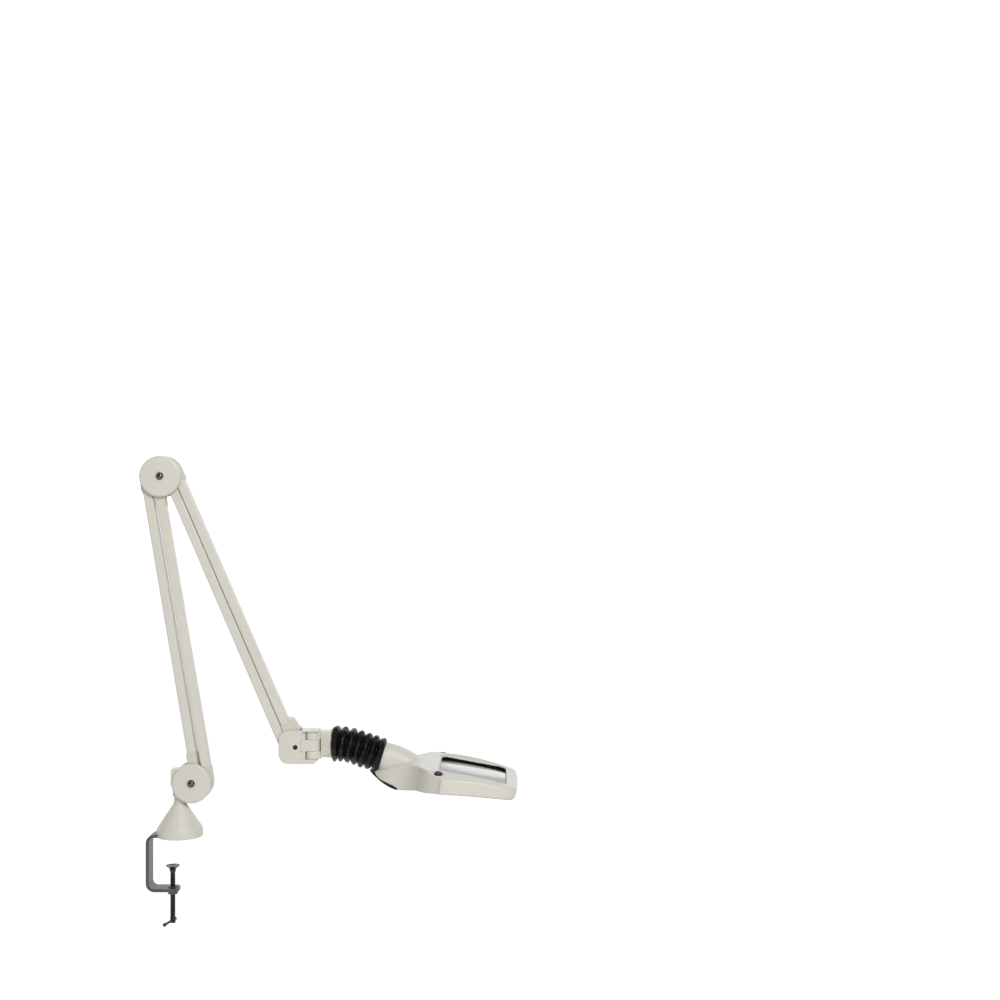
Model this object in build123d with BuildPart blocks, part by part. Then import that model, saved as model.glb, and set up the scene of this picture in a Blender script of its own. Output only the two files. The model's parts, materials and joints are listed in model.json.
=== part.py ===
from build123d import *
import math
import os

# Clamp-on magnifier lamp with two parallel-link arms and a wave-sided head.
# Millimetres and degrees. +X runs from the clamp towards the head, +Y away
# from the viewer, +Z up. The origin is on the swivel axis, in the face of the
# upper jaw that rests on the desk. Arm angles are counter-clockwise from +X.

# Fits
running_clearance = 0.05
seat_clearance = 0.02
body_gap = 0.3
linkage_play = 0.3

# Desk clamp
bar_width = 30.0
bar_thickness = 5.0
bar_bend_radius = 11.0
jaw_opening = 80.0
throat_depth = 45.6
upper_jaw_reach = 22.0
spindle_offset = 11.2
lower_jaw_lip = 11.0
boss_radius = 8.0
boss_stand_down = 6.0
boss_stand_up = 1.0
spindle_radius = 4.25
spindle_length = 80.0
spindle_nose_radius = 2.6
spindle_nose_length = 6.0
pad_opening = 46.0
pad_radius = 10.8
pad_neck_radius = 4.6
pad_height = 10.0
pad_lip = 1.2
pad_dish = 1.6
tommy_radius = 2.0
tommy_near_length = 30.0
tommy_far_length = 9.0
tommy_end_radius = 2.8
tommy_end_length = 4.0
tommy_end_chamfer = 0.7
tommy_height = 4.0
tommy_heading = 256.0

# Swivel and its cone cover
cone_rim_radius = 35.6
cone_rim_height = 13.0
cone_top_radius = 9.8
cone_height = 52.0
cone_wall = 2.0
cone_lift = 0.4
swivel_pin_radius = 6.35
swivel_pin_lift = 9.0
socket_wall = 1.6
socket_flange_radius = 14.0
socket_flange_height = 4.0
bush_wall = 1.2
bush_flange_lip = 0.4
bush_flange_height = 4.4
collar_height = 3.0
stem_radius = 9.2
stem_top_gap = 21.0
socket_screw_radius = 1.6
socket_screw_circle = 11.2
socket_screw_head_radius = 2.9
socket_screw_length = 8.5

# Discs, pins and the four-bar geometry
disc_radius = 31.0
knuckle_disc_radius = 32.5
disc_thickness = 9.2
disc_edge_radius = 4.0
disc_dome = 1.2
disc_recess_radius = 7.2
disc_recess_depth = 2.4
layer_half_width = 9.0
layer_gap = 0.6
pin_radius = 4.0
pin_seat_depth = 5.0
centre_screw_radius = 3.0
centre_head_radius = 5.4
centre_head_height = 3.4
centre_head_rim = 1.0
centre_nut_radius = 5.2
centre_nut_height = 2.0
base_centre_x = 20.6
base_centre_z = 85.0
link_spacing = 31.2
link_offset = 19.5
lower_link_axis = 45.0
upper_link_axis = -6.0
hub_radius = 29.0
hub_link_clearance = 8.0
hub_lug_reach = 33.2
hub_lug_inner = 12.0
hub_lug_z = 8.5
hub_lug_half_height = 13.5
hub_lug_corner = 3.0
knuckle_hub_radius = 11.0
knuckle_web_radius = 30.0
knuckle_web_start = 78.0
knuckle_web_sweep = 84.0

# Arms
arm_length = 460.0
lower_arm_angle = 99.6
upper_arm_angle = -66.6
tube_height = 14.5
tube_wall = 1.2
tube_corner_radius = 2.6
fitting_length = 22.0
fitting_spigot = 16.0
fitting_shoulder = 1.5
fitting_shoulder_start = 7.0
bush_radius = 5.2
spring_radius = 5.0
spring_wire = 1.4
spring_length = 190.0
web_crest = [(28.0, 0.0), (22.4, 7.7), (14.6, 8.7), (5.6, 14.0)]
web_root = (2.5, 6.5)

# Head bracket and yaw hinge
bracket_half_width = 16.0
bracket_cover_thickness = 3.4
bracket_left = 16.0
bracket_right = 46.5
bracket_half_height = 26.0
bracket_corner_radius = 15.0
bracket_chamfer = 7.0
bracket_screw_x = 10.1
bracket_screw_radius = 2.0
bracket_screw_head_radius = 3.8
bracket_screw_head_height = 1.4
bracket_slot_width = 1.1
bracket_slot_turn = 40.0
bracket_boss_radius = 4.6
bracket_edge = 1.0
web_left = 14.9
roof_notch = 3.2
roof_notch_depth = 3.0
barrel_x = 36.0
barrel_radius = 13.4
barrel_middle_half = 9.0
barrel_middle_z = 2.2
barrel_tab_reach = 3.6
barrel_tab_half_width = 13.1
ear_half_width = 9.5
ear_sweep_radius = 16.3
floor_top = 19.4
roof_bottom = 24.2
hinge_pin_radius = 3.0
hinge_pin_sink = 0.6
cutout_margin = 1.8

# Collar, tilt pivot and bellows
collar_length = 31.0
collar_half_height = 21.0
collar_root_half_height = 19.4
collar_root_half_width = 13.0
collar_facet = 11.0
collar_z = 4.0
collar_spigot_length = 7.0
collar_spigot_radius = 19.6
collar_cup_radius = 16.6
collar_cup_depth = 5.0
lug_half_width = 10.0
blade_half_width = 5.0
lug_height = 15.0
tilt_pin_radius = 3.2
tilt_forward = 17.6
neck_forward = 60.2
neck_drop = 19.0
head_angle = -10.5
neck_angle = -17.0
blade_height = 13.0
neck_radius = 21.0
neck_spigot_length = 9.0
neck_spigot_radius = 19.8
neck_bore_radius = 14.6
neck_bore_depth = 12.0
bellows_wall = 1.6
bellows_valley_radius = 23.0
bellows_lobe_radius = 27.8
bellows_last_radius = 22.9
bellows_lobes = 6

# Head housing, in the head's own frame: x forward from the neck end, z up
housing_wall = 2.5
head_length = 217.0
shoulder_half_width = 106.0
front_half_width = 88.0
front_corner_radius = 26.0
front_bow = 3.0
roof_flat = 82.0
roof_slope = 18.0
skirt_inset = 3.0
underside_thickness = 3.0
chin_depth = -43.0
chin_split_x = 34.0
chin_split_z = -41.2
chin_point_count = 5
plan_points = [(-14.3, 0), (-4.4, 14), (12.4, 26), (31, 34), (48, 44), (64, 64), (80, 90), (98.4, 104.5), (113.3, 106)]
plan_tangents = [(0.45, 1), (1, -0.03)]
top_points = [
    (-14.3, -24.0),
    (-3, -22.4),
    (6, -17.4),
    (18, -10.8),
    (32, -3.6),
    (47, 1.6),
    (62, 4.6),
    (80, 6.4),
    (98, 8.0),
    (122, 9.4),
    (148, 9.4),
    (180, 6.8),
    (206, 3.6),
    (217, 2.0),
]
bottom_points = [
    (217, -15.4),
    (204, -16.0),
    (171, -17.8),
    (140, -19.6),
    (110, -22.4),
    (80, -28.4),
    (51, -38.2),
    (34, -42.4),
    (21, -41.2),
    (8, -37.2),
    (-4, -32.2),
    (-14.3, -28.0),
]
chin_points = [(-18, -19.6), (-9, -21.6), (-4.6, -29), (6, -34.8), (34, -41.2)]
neck_cone_sections = [(16.0, 0.8, 22.0, 21.6), (35.0, 3.5, 23.5, 17.0), (56.0, 5.4, 23.5, 10.0), (76.0, 6.4, 20.0, 4.5)]

# Lens and lights
lens_width = 156.0
lens_depth = 112.0
lens_corner_radius = 20.0
lens_lip = 4.0
lens_x = 145.5
lens_z = -3.2
dish_z = 4.0
dish_angle = 58.0
dish_height = 12.0
lens_thickness = 11.0
lens_curve_radius = 1150.0
lens_frame_wall = 3.0
window_rear = (105.6, 98.4)
window_front = (199.0, 83.6)
window_inner_mid = (158.0, 83.0)
window_outer_mid = (152.0, 92.0)
window_tip_ratio = 6.0
board_z = -8.0
board_thickness = 1.6
board_margin = 0.8
board_post_radius = 1.8
board_post_rear_x = 121.0
board_post_rear_y = 91.0
board_post_front_x = 176.0
board_post_front_y = 84.8
lamp_count = 12
lamp_size = 2.8
lamp_height = 0.8
lamp_rear_x = 125.0
lamp_run = 47.0
lamp_rear_y = 90.4
lamp_drop = 5.2
driver_length = 34.0
driver_width = 26.0
driver_x = 62.0
driver_z = -12.0
driver_post_x = 14.0
driver_post_y = 10.0
driver_part_height = 8.0

# Buttons, switches and housing screws
button_x = 93.0
button_y = 90.0
button_radius = 5.6
button_rise = 1.2
button_travel = 0.8
button_flange = 1.0
button_stem_length = 3.0
button_stem_radius = 1.6
switch_size = 6.0
switch_height = 4.3
switch_tip_height = 0.8
switch_post_radius = 3.4
rear_screw_x = 64.0
rear_screw_y = 36.0
rear_screw_seat = -30.4
front_screw_x = 209.4
front_screw_y = 40.0
front_screw_seat = -14.2
screw_radius = 1.4
screw_head_radius = 2.7
screw_head_height = 1.6
screw_length = 9.0
screw_tip_gap = 0.5
screw_boss_floor = 2.0
floor_boss_radius = 4.3
roof_boss_radius = 4.0

# Places worked out from the sizes above
across = Vector(0, -1, 0)


def heading(angle, length=1.0):
    """A vector in the arm plane at an angle from +X."""
    turn = math.radians(angle)
    return Vector(math.cos(turn), 0, math.sin(turn)) * length


def side_plane(origin, angle=0.0):
    """A plane in the arm plane with its x axis at an angle from +X."""
    return Plane(origin=origin, x_dir=heading(angle), z_dir=across)


disc_inner = layer_half_width + layer_gap
disc_outer = disc_inner + disc_thickness
pin_half_length = disc_inner + pin_seat_depth
half_spacing = link_spacing / 2

base_centre = Vector(base_centre_x, 0, base_centre_z)
base_pair = base_centre + heading(lower_link_axis, link_offset)
lower_cross = heading(lower_link_axis + 90, half_spacing)
lower_reach = heading(lower_arm_angle, arm_length)
knuckle_lower_pair = base_pair + lower_reach
knuckle_centre = knuckle_lower_pair + heading(lower_link_axis, link_offset)
knuckle_upper_pair = knuckle_centre + heading(upper_link_axis, link_offset)
upper_cross = heading(upper_link_axis + 90, half_spacing)
bracket_centre = knuckle_upper_pair + heading(upper_arm_angle, arm_length)

barrel_centre = bracket_centre + Vector(barrel_x, 0, 0)
collar_centre = barrel_centre + Vector(collar_length, 0, collar_z)
tilt_pivot = collar_centre + Vector(tilt_forward, 0, 0)
neck_end = tilt_pivot + Vector(neck_forward, 0, -neck_drop)

head_side = side_plane(neck_end, head_angle)
head_top = Plane(origin=neck_end, x_dir=heading(head_angle), z_dir=heading(head_angle + 90))

os.makedirs("parts", exist_ok=True)

# Clamp frame: one bent flat bar with a rounded lower jaw
leg_x = -throat_depth - bar_thickness / 2
upper_jaw_z = bar_thickness / 2
lower_jaw_z = -jaw_opening - bar_thickness / 2
lower_jaw_end = -spindle_offset + lower_jaw_lip
boss_bottom = -jaw_opening - bar_thickness - boss_stand_down
boss_top = -jaw_opening + boss_stand_up
desk_face = Plane.XY
screw_places = PolarLocations(socket_screw_circle, 2, start_angle=90)

with BuildPart() as clamp_frame:
    with BuildSketch(Plane.XZ):
        with BuildLine() as bar_path:
            FilletPolyline(
                (upper_jaw_reach, upper_jaw_z),
                (leg_x, upper_jaw_z),
                (leg_x, lower_jaw_z),
                (lower_jaw_end, lower_jaw_z),
                radius=bar_bend_radius,
            )
        trace(line_width=bar_thickness)
    extrude(amount=bar_width / 2, both=True)
    ends = clamp_frame.edges().filter_by(Axis.Z).filter_by(lambda e: abs(e.length - bar_thickness) < 0.01)
    upper_ends = ends.group_by(Axis.Z)[-1]
    lower_ends = ends.group_by(Axis.Z)[0]
    fillet(lower_ends, radius=min(lower_jaw_lip, bar_width / 2) - body_gap)
    fillet(upper_ends, radius=bar_width / 4)
    with Locations((-spindle_offset, 0, lower_jaw_z)):
        Hole(boss_radius, depth=bar_thickness)
    with BuildSketch(desk_face):
        with screw_places:
            Circle(socket_screw_radius + seat_clearance)
    extrude(amount=bar_thickness, mode=Mode.SUBTRACT)
    with BuildSketch(desk_face):
        with screw_places:
            Circle(socket_screw_head_radius + running_clearance)
    extrude(amount=socket_screw_head_radius - socket_screw_radius + body_gap, mode=Mode.SUBTRACT)
clamp_frame.part.label = "clamp_frame"
export_step(clamp_frame.part, "parts/clamp_frame.step")

# Threaded boss set in the lower jaw
with BuildPart() as threaded_boss:
    with BuildSketch(Plane.XY.offset(boss_bottom)):
        with Locations((-spindle_offset, 0)):
            Circle(boss_radius)
            Circle(spindle_radius + running_clearance, mode=Mode.SUBTRACT)
    extrude(amount=boss_top - boss_bottom)
    chamfer(threaded_boss.edges().filter_by(GeomType.CIRCLE).group_by(Axis.Z)[0].sort_by(SortBy.RADIUS)[-1], 1.0)
threaded_boss.part.label = "threaded_boss"
export_step(threaded_boss.part, "parts/threaded_boss.step")

# Pad: a flared, dished cup that meets the underside of the desk
with BuildPart() as clamp_pad:
    with BuildSketch(side_plane(Vector(-spindle_offset, 0, -pad_opening))):
        with BuildLine():
            rim = Polyline((0, -pad_dish), (pad_radius - pad_lip, 0), (pad_radius, 0), (pad_radius, -pad_lip))
            Spline(
                rim @ 1,
                (pad_neck_radius + pad_lip, -pad_height / 2),
                (pad_neck_radius, -pad_height),
                tangents=((-1, -0.4), (0, -1)),
            )
            Line((pad_neck_radius, -pad_height), (0, -pad_height))
            Line((0, -pad_height), (0, -pad_dish))
        make_face()
    revolve(axis=Axis((-spindle_offset, 0, 0), (0, 0, 1)))
    with Locations((-spindle_offset, 0, -pad_opening - pad_height)):
        Cylinder(
            spindle_nose_radius + running_clearance,
            2 * (spindle_nose_length + body_gap),
            mode=Mode.SUBTRACT,
        )
clamp_pad.part.label = "clamp_pad"
export_step(clamp_pad.part, "parts/clamp_pad.step")

# Spindle with its nose in the pad
spindle_top = -pad_opening - pad_height - body_gap
spindle_bottom = spindle_top - spindle_length
tommy_z = spindle_bottom + tommy_height

tommy_plane = Plane(
    origin=(-spindle_offset, 0, tommy_z),
    z_dir=(math.cos(math.radians(tommy_heading)), math.sin(math.radians(tommy_heading)), 0),
)

with BuildPart() as clamp_spindle:
    with BuildSketch(Plane.XY.offset(spindle_bottom)):
        with Locations((-spindle_offset, 0)):
            Circle(spindle_radius)
    extrude(amount=spindle_length)
    chamfer(clamp_spindle.edges().filter_by(GeomType.CIRCLE), 0.6)
    with BuildSketch(Plane.XY.offset(spindle_top)):
        with Locations((-spindle_offset, 0)):
            Circle(spindle_nose_radius)
    extrude(amount=spindle_nose_length)
    with BuildSketch(tommy_plane):
        Circle(tommy_radius + seat_clearance)
    extrude(amount=2 * spindle_radius, both=True, mode=Mode.SUBTRACT)
clamp_spindle.part.label = "clamp_spindle"
export_step(clamp_spindle.part, "parts/clamp_spindle.step")

# Tommy bar through the spindle's foot, with a knob at each end
with BuildPart() as tommy_bar:
    with BuildSketch(tommy_plane):
        Circle(tommy_radius)
    extrude(amount=tommy_near_length)
    with BuildSketch(tommy_plane):
        Circle(tommy_radius)
    extrude(amount=-tommy_far_length)
    with BuildSketch(tommy_plane.offset(tommy_near_length - tommy_end_length)):
        Circle(tommy_end_radius)
    extrude(amount=tommy_end_length)
    with BuildSketch(tommy_plane.offset(-tommy_far_length)):
        Circle(tommy_end_radius)
    extrude(amount=tommy_end_length)
    knob_ends = tommy_bar.faces().filter_by(GeomType.PLANE).sort_by(Axis(tommy_plane.origin, tommy_plane.z_dir))
    chamfer(knob_ends[0].edges() + knob_ends[-1].edges(), tommy_end_chamfer)
tommy_bar.part.label = "tommy_bar"
export_step(tommy_bar.part, "parts/tommy_bar.step")

# Swivel socket: a flanged tube screwed to the upper jaw, hidden by the cone
jaw_top = bar_thickness
bush_radius_outer = swivel_pin_radius + running_clearance + bush_wall
socket_radius = bush_radius_outer + seat_clearance + socket_wall
socket_top = cone_height - bush_flange_height
flange_top = jaw_top + socket_flange_height

with BuildPart() as swivel_socket:
    with BuildSketch(Plane.XY.offset(jaw_top)):
        Circle(socket_flange_radius)
    extrude(amount=socket_flange_height)
    with BuildSketch(Plane.XY.offset(flange_top)):
        Circle(socket_radius)
    extrude(amount=socket_top - flange_top)
    with BuildSketch(Plane.XY.offset(jaw_top)):
        Circle(bush_radius_outer + seat_clearance)
    extrude(amount=cone_height, mode=Mode.SUBTRACT)
    with BuildSketch(Plane.XY.offset(jaw_top)):
        with screw_places:
            Circle(socket_screw_radius + seat_clearance)
    extrude(amount=socket_flange_height, mode=Mode.SUBTRACT)
swivel_socket.part.label = "swivel_socket"
export_step(swivel_socket.part, "parts/swivel_socket.step")

# Countersunk screws that hold the socket to the jaw from below
with BuildPart() as socket_screws:
    with BuildSketch(desk_face.offset(body_gap)):
        with screw_places:
            Circle(socket_screw_head_radius)
    extrude(amount=socket_screw_head_radius - socket_screw_radius)
    with BuildSketch(desk_face.offset(body_gap)):
        with screw_places:
            Circle(socket_screw_radius)
    extrude(amount=socket_screw_length)
socket_screws.part.label = "socket_screws"
export_step(socket_screws.part, "parts/socket_screws.step")

# Plain bearing bush with a flange that carries the swivel's collar
with BuildPart() as swivel_bush:
    with BuildSketch(Plane.XY.offset(jaw_top)):
        Circle(bush_radius_outer)
    extrude(amount=socket_top - jaw_top)
    with BuildSketch(Plane.XY.offset(socket_top)):
        Circle(bush_radius_outer + bush_flange_lip)
    extrude(amount=bush_flange_height)
    with BuildSketch(Plane.XY.offset(jaw_top)):
        Circle(swivel_pin_radius + running_clearance)
    extrude(amount=cone_height, mode=Mode.SUBTRACT)
swivel_bush.part.label = "swivel_bush"
export_step(swivel_bush.part, "parts/swivel_bush.step")

# Cone cover: a thin spun shell, notched over the bar it stands on
cone_slope = (cone_rim_radius - cone_top_radius) / (cone_height - cone_rim_height)
cone_mouth = bush_radius_outer + bush_flange_lip + body_gap
cone_inner_top = cone_top_radius + cone_slope * cone_wall - cone_wall * math.hypot(1, cone_slope)

with BuildPart() as cone_cover:
    with BuildSketch(Plane.XZ):
        with BuildLine():
            Polyline(
                (cone_mouth, cone_height),
                (cone_top_radius, cone_height),
                (cone_rim_radius, cone_rim_height),
                (cone_rim_radius, cone_lift),
                (cone_rim_radius - cone_wall, cone_lift),
                (cone_rim_radius - cone_wall, cone_rim_height - cone_wall / 2),
                (max(cone_inner_top, cone_mouth + body_gap), cone_height - cone_wall),
                (cone_mouth, cone_height - cone_wall),
                (cone_mouth, cone_height),
            )
        make_face()
    revolve(axis=Axis.Z)
    fillet(cone_cover.edges().filter_by(GeomType.CIRCLE).sort_by(SortBy.RADIUS)[-3:], radius=0.6)
    with BuildSketch(Plane.XY):
        with Locations((-cone_rim_radius, 0)):
            Rectangle(2 * (cone_rim_radius - socket_flange_radius), bar_width + 2 * body_gap)
    extrude(amount=bar_thickness, mode=Mode.SUBTRACT)
cone_cover.part.label = "cone_cover"
export_step(cone_cover.part, "parts/cone_cover.step")

# Swivel stem: a turned pin in the bush, and a thicker post above the cone
stem_top = base_centre_z - stem_top_gap
spigot_top = stem_top + stem_radius

with BuildPart() as swivel_stem:
    with BuildSketch(Plane.XZ):
        with BuildLine():
            Polyline(
                (0, swivel_pin_lift),
                (swivel_pin_radius, swivel_pin_lift),
                (swivel_pin_radius, cone_height + body_gap),
                (stem_radius, cone_height + body_gap),
                (stem_radius, stem_top),
                (swivel_pin_radius, stem_top),
                (swivel_pin_radius, spigot_top),
                (0, spigot_top),
                (0, swivel_pin_lift),
            )
        make_face()
    revolve(axis=Axis.Z)
swivel_stem.part.label = "swivel_stem"
export_step(swivel_stem.part, "parts/swivel_stem.step")

# Collar ring on the stem, just above the cone
with BuildPart() as stem_collar:
    with BuildSketch(Plane.XY.offset(cone_height + body_gap)):
        Circle(cone_top_radius)
        Circle(stem_radius + seat_clearance, mode=Mode.SUBTRACT)
    extrude(amount=collar_height)
    fillet(stem_collar.edges().filter_by(GeomType.CIRCLE).sort_by(SortBy.RADIUS)[-2:], radius=0.25)
stem_collar.part.label = "stem_collar"
export_step(stem_collar.part, "parts/stem_collar.step")

# Base hub between the discs: it holds the stem and leaves room for the arms
hub_edge = link_offset - hub_link_clearance

with BuildPart() as base_hub:
    with BuildSketch(side_plane(base_centre, lower_link_axis)):
        Circle(hub_radius)
        with Locations((hub_edge + hub_radius, 0)):
            Rectangle(2 * hub_radius, 3 * hub_radius, mode=Mode.SUBTRACT)
    extrude(amount=disc_inner, both=True)
    with BuildSketch(side_plane(base_centre)):
        with Locations((-(hub_lug_reach + hub_lug_inner) / 2, hub_lug_z)):
            RectangleRounded(hub_lug_reach - hub_lug_inner, 2 * hub_lug_half_height, hub_lug_corner)
        with Locations((-base_centre_x, -stem_top_gap / 2)):
            Rectangle(2 * stem_radius, stem_top_gap)
    extrude(amount=disc_inner, both=True)
    with BuildSketch(side_plane(base_centre)):
        Circle(centre_screw_radius + seat_clearance)
    extrude(amount=disc_inner, both=True, mode=Mode.SUBTRACT)
    with BuildSketch(Plane.XY.offset(stem_top)):
        Circle(swivel_pin_radius + seat_clearance)
    extrude(amount=spigot_top - stem_top, mode=Mode.SUBTRACT)
    with BuildSketch(Plane.XY.offset(stem_top)):
        Circle(stem_radius + seat_clearance)
    extrude(amount=-hub_radius, mode=Mode.SUBTRACT)
base_hub.part.label = "base_hub"
export_step(base_hub.part, "parts/base_hub.step")


def disc_cover(centre, radius, face, pins):
    """A domed disc outside the arm layer: face is -1 in front and 1 behind."""
    profile = Plane(origin=centre, x_dir=(0, 0, 1), z_dir=(-face, 0, 0))
    bore = centre_screw_radius + seat_clearance
    edge_x = radius - disc_edge_radius
    edge_y = disc_outer - disc_dome - disc_edge_radius
    mid = disc_edge_radius * math.sqrt(0.5)
    with BuildPart() as disc:
        with BuildSketch(profile):
            with BuildLine():
                Polyline((bore, disc_inner), (radius, disc_inner), (radius, edge_y))
                ThreePointArc(
                    (radius, edge_y),
                    (edge_x + mid, edge_y + mid),
                    (edge_x, disc_outer - disc_dome),
                )
                Polyline(
                    (edge_x, disc_outer - disc_dome),
                    (disc_recess_radius, disc_outer),
                    (disc_recess_radius, disc_outer - disc_recess_depth),
                    (bore, disc_outer - disc_recess_depth),
                    (bore, disc_inner),
                )
            make_face()
        revolve(axis=Axis(centre, (0, 1, 0)))
        with BuildSketch(side_plane(centre).offset(-face * disc_inner)):
            with Locations(*[(pin.X - centre.X, pin.Z - centre.Z) for pin in pins]):
                Circle(pin_radius + seat_clearance)
        extrude(amount=-face * pin_seat_depth, mode=Mode.SUBTRACT)
    return disc


def pin_set(pins):
    """Plain pins across the arm layer, seated in both discs."""
    with BuildPart() as pin_group:
        with BuildSketch(Plane.XZ):
            with Locations(*[(pin.X, pin.Z) for pin in pins]):
                Circle(pin_radius)
        extrude(amount=pin_half_length, both=True)
    return pin_group


def centre_screw(centre):
    """A domed screw through the middle of a pair of discs."""
    seat = disc_outer - disc_recess_depth
    with BuildPart() as screw:
        with BuildSketch(Plane(origin=centre, x_dir=(0, 0, 1), z_dir=(-1, 0, 0))):
            with BuildLine():
                Polyline(
                    (0, -seat - centre_head_height),
                    (0, seat + centre_nut_height / 2),
                    (centre_screw_radius, seat + centre_nut_height / 2),
                    (centre_screw_radius, -seat),
                    (centre_head_radius, -seat),
                    (centre_head_radius, -seat - centre_head_rim),
                )
                TangentArc(
                    (0, -seat - centre_head_height),
                    (centre_head_radius, -seat - centre_head_rim),
                    tangent=(1, 0),
                )
            make_face()
        revolve(axis=Axis(centre, (0, 1, 0)))
    return screw


def centre_nut(centre):
    """The hexagon nut behind the rear disc."""
    seat = disc_outer - disc_recess_depth
    with BuildPart() as nut:
        with BuildSketch(side_plane(centre).offset(-seat)):
            RegularPolygon(centre_nut_radius, 6)
            Circle(centre_screw_radius + seat_clearance, mode=Mode.SUBTRACT)
        extrude(amount=-centre_nut_height)
    return nut


base_pins_at = [base_pair + lower_cross, base_pair - lower_cross]
knuckle_pins_at = [
    knuckle_lower_pair + lower_cross,
    knuckle_lower_pair - lower_cross,
    knuckle_upper_pair + upper_cross,
    knuckle_upper_pair - upper_cross,
]

# Base discs, front and rear
base_disc_front = disc_cover(base_centre, disc_radius, -1, base_pins_at)
base_disc_front.part.label = "base_disc_front"
export_step(base_disc_front.part, "parts/base_disc_front.step")

base_disc_rear = disc_cover(base_centre, disc_radius, 1, base_pins_at)
base_disc_rear.part.label = "base_disc_rear"
export_step(base_disc_rear.part, "parts/base_disc_rear.step")

base_pins = pin_set(base_pins_at)
base_pins.part.label = "base_pins"
export_step(base_pins.part, "parts/base_pins.step")

base_screw = centre_screw(base_centre)
base_screw.part.label = "base_screw"
export_step(base_screw.part, "parts/base_screw.step")

base_nut = centre_nut(base_centre)
base_nut.part.label = "base_nut"
export_step(base_nut.part, "parts/base_nut.step")

# Knuckle hub: the web between the discs, clear of all four tube ends
with BuildPart() as knuckle_hub:
    with BuildSketch(side_plane(knuckle_centre)):
        Circle(knuckle_hub_radius)
        with BuildLine():
            CenterArc((0, 0), knuckle_web_radius, knuckle_web_start, knuckle_web_sweep)
            Line(
                (0, 0),
                (
                    knuckle_web_radius * math.cos(math.radians(knuckle_web_start)),
                    knuckle_web_radius * math.sin(math.radians(knuckle_web_start)),
                ),
            )
            Line(
                (0, 0),
                (
                    knuckle_web_radius * math.cos(math.radians(knuckle_web_start + knuckle_web_sweep)),
                    knuckle_web_radius * math.sin(math.radians(knuckle_web_start + knuckle_web_sweep)),
                ),
            )
        make_face()
        Circle(centre_screw_radius + seat_clearance, mode=Mode.SUBTRACT)
    extrude(amount=disc_inner, both=True)
knuckle_hub.part.label = "knuckle_hub"
export_step(knuckle_hub.part, "parts/knuckle_hub.step")

knuckle_disc_front = disc_cover(knuckle_centre, knuckle_disc_radius, -1, knuckle_pins_at)
knuckle_disc_front.part.label = "knuckle_disc_front"
export_step(knuckle_disc_front.part, "parts/knuckle_disc_front.step")

knuckle_disc_rear = disc_cover(knuckle_centre, knuckle_disc_radius, 1, knuckle_pins_at)
knuckle_disc_rear.part.label = "knuckle_disc_rear"
export_step(knuckle_disc_rear.part, "parts/knuckle_disc_rear.step")

knuckle_pins = pin_set(knuckle_pins_at)
knuckle_pins.part.label = "knuckle_pins"
export_step(knuckle_pins.part, "parts/knuckle_pins.step")

knuckle_screw = centre_screw(knuckle_centre)
knuckle_screw.part.label = "knuckle_screw"
export_step(knuckle_screw.part, "parts/knuckle_screw.step")

knuckle_nut = centre_nut(knuckle_centre)
knuckle_nut.part.label = "knuckle_nut"
export_step(knuckle_nut.part, "parts/knuckle_nut.step")


def arm_tube(start, angle):
    """The hollow tube of an arm link, between its two end fittings."""
    section = Plane(origin=start + heading(angle, fitting_length), x_dir=(0, 1, 0), z_dir=heading(angle))
    with BuildPart() as tube:
        with BuildSketch(section):
            RectangleRounded(2 * layer_half_width, tube_height, tube_corner_radius)
            RectangleRounded(
                2 * (layer_half_width - tube_wall),
                tube_height - 2 * tube_wall,
                tube_corner_radius - tube_wall,
                mode=Mode.SUBTRACT,
            )
        extrude(amount=arm_length - 2 * fitting_length)
    return tube


def arm_fittings(start, angle, shoulder, web):
    """The eye fittings plugged into both ends of an arm link.

    A shoulder stands proud on the left side of the link where shoulder is
    true, and the far fitting carries the curved web where web is true.
    """
    half = tube_height / 2
    finish = start + heading(angle, arm_length)
    ends = [(side_plane(start, angle), 1, False), (side_plane(finish, angle + 180), -1, web)]
    with BuildPart() as fittings:
        for plane, outer, webbed in ends:
            with BuildSketch(plane):
                Circle(half)
                with Locations((fitting_length / 2, 0)):
                    Rectangle(fitting_length, tube_height)
                if shoulder:
                    with BuildLine():
                        Polyline(
                            (fitting_shoulder_start, 0),
                            (fitting_shoulder_start, outer * half),
                            (fitting_shoulder_start + fitting_shoulder, outer * (half + fitting_shoulder)),
                            (fitting_length, outer * (half + fitting_shoulder)),
                            (fitting_length, 0),
                            (fitting_shoulder_start, 0),
                        )
                    make_face()
                if webbed:
                    with BuildLine():
                        crest = Spline([(along, outer * (half + out)) for along, out in web_crest])
                        Polyline(
                            crest @ 1,
                            (web_root[0], outer * (half + web_root[1])),
                            (0, 0),
                            (fitting_length, 0),
                            (fitting_length, outer * half),
                            crest @ 0,
                        )
                    make_face()
                Circle(bush_radius + seat_clearance, mode=Mode.SUBTRACT)
            extrude(amount=layer_half_width, both=True)
            cross = Plane(
                origin=plane.origin + plane.x_dir * fitting_length, x_dir=(0, 1, 0), z_dir=plane.x_dir
            )
            with BuildSketch(cross):
                RectangleRounded(
                    2 * (layer_half_width - tube_wall - seat_clearance),
                    tube_height - 2 * (tube_wall + seat_clearance),
                    tube_corner_radius - tube_wall,
                )
            extrude(amount=fitting_spigot)
    return fittings


def arm_bushes(start, angle, far_play):
    """Plain bushes in both eyes: the far one may have extra play."""
    finish = start + heading(angle, arm_length)
    with BuildPart() as bushes:
        for place, play in ((start, running_clearance), (finish, far_play)):
            with BuildSketch(side_plane(place)):
                Circle(bush_radius)
                Circle(pin_radius + play, mode=Mode.SUBTRACT)
            extrude(amount=disc_inner - body_gap, both=True)
    return bushes


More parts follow.
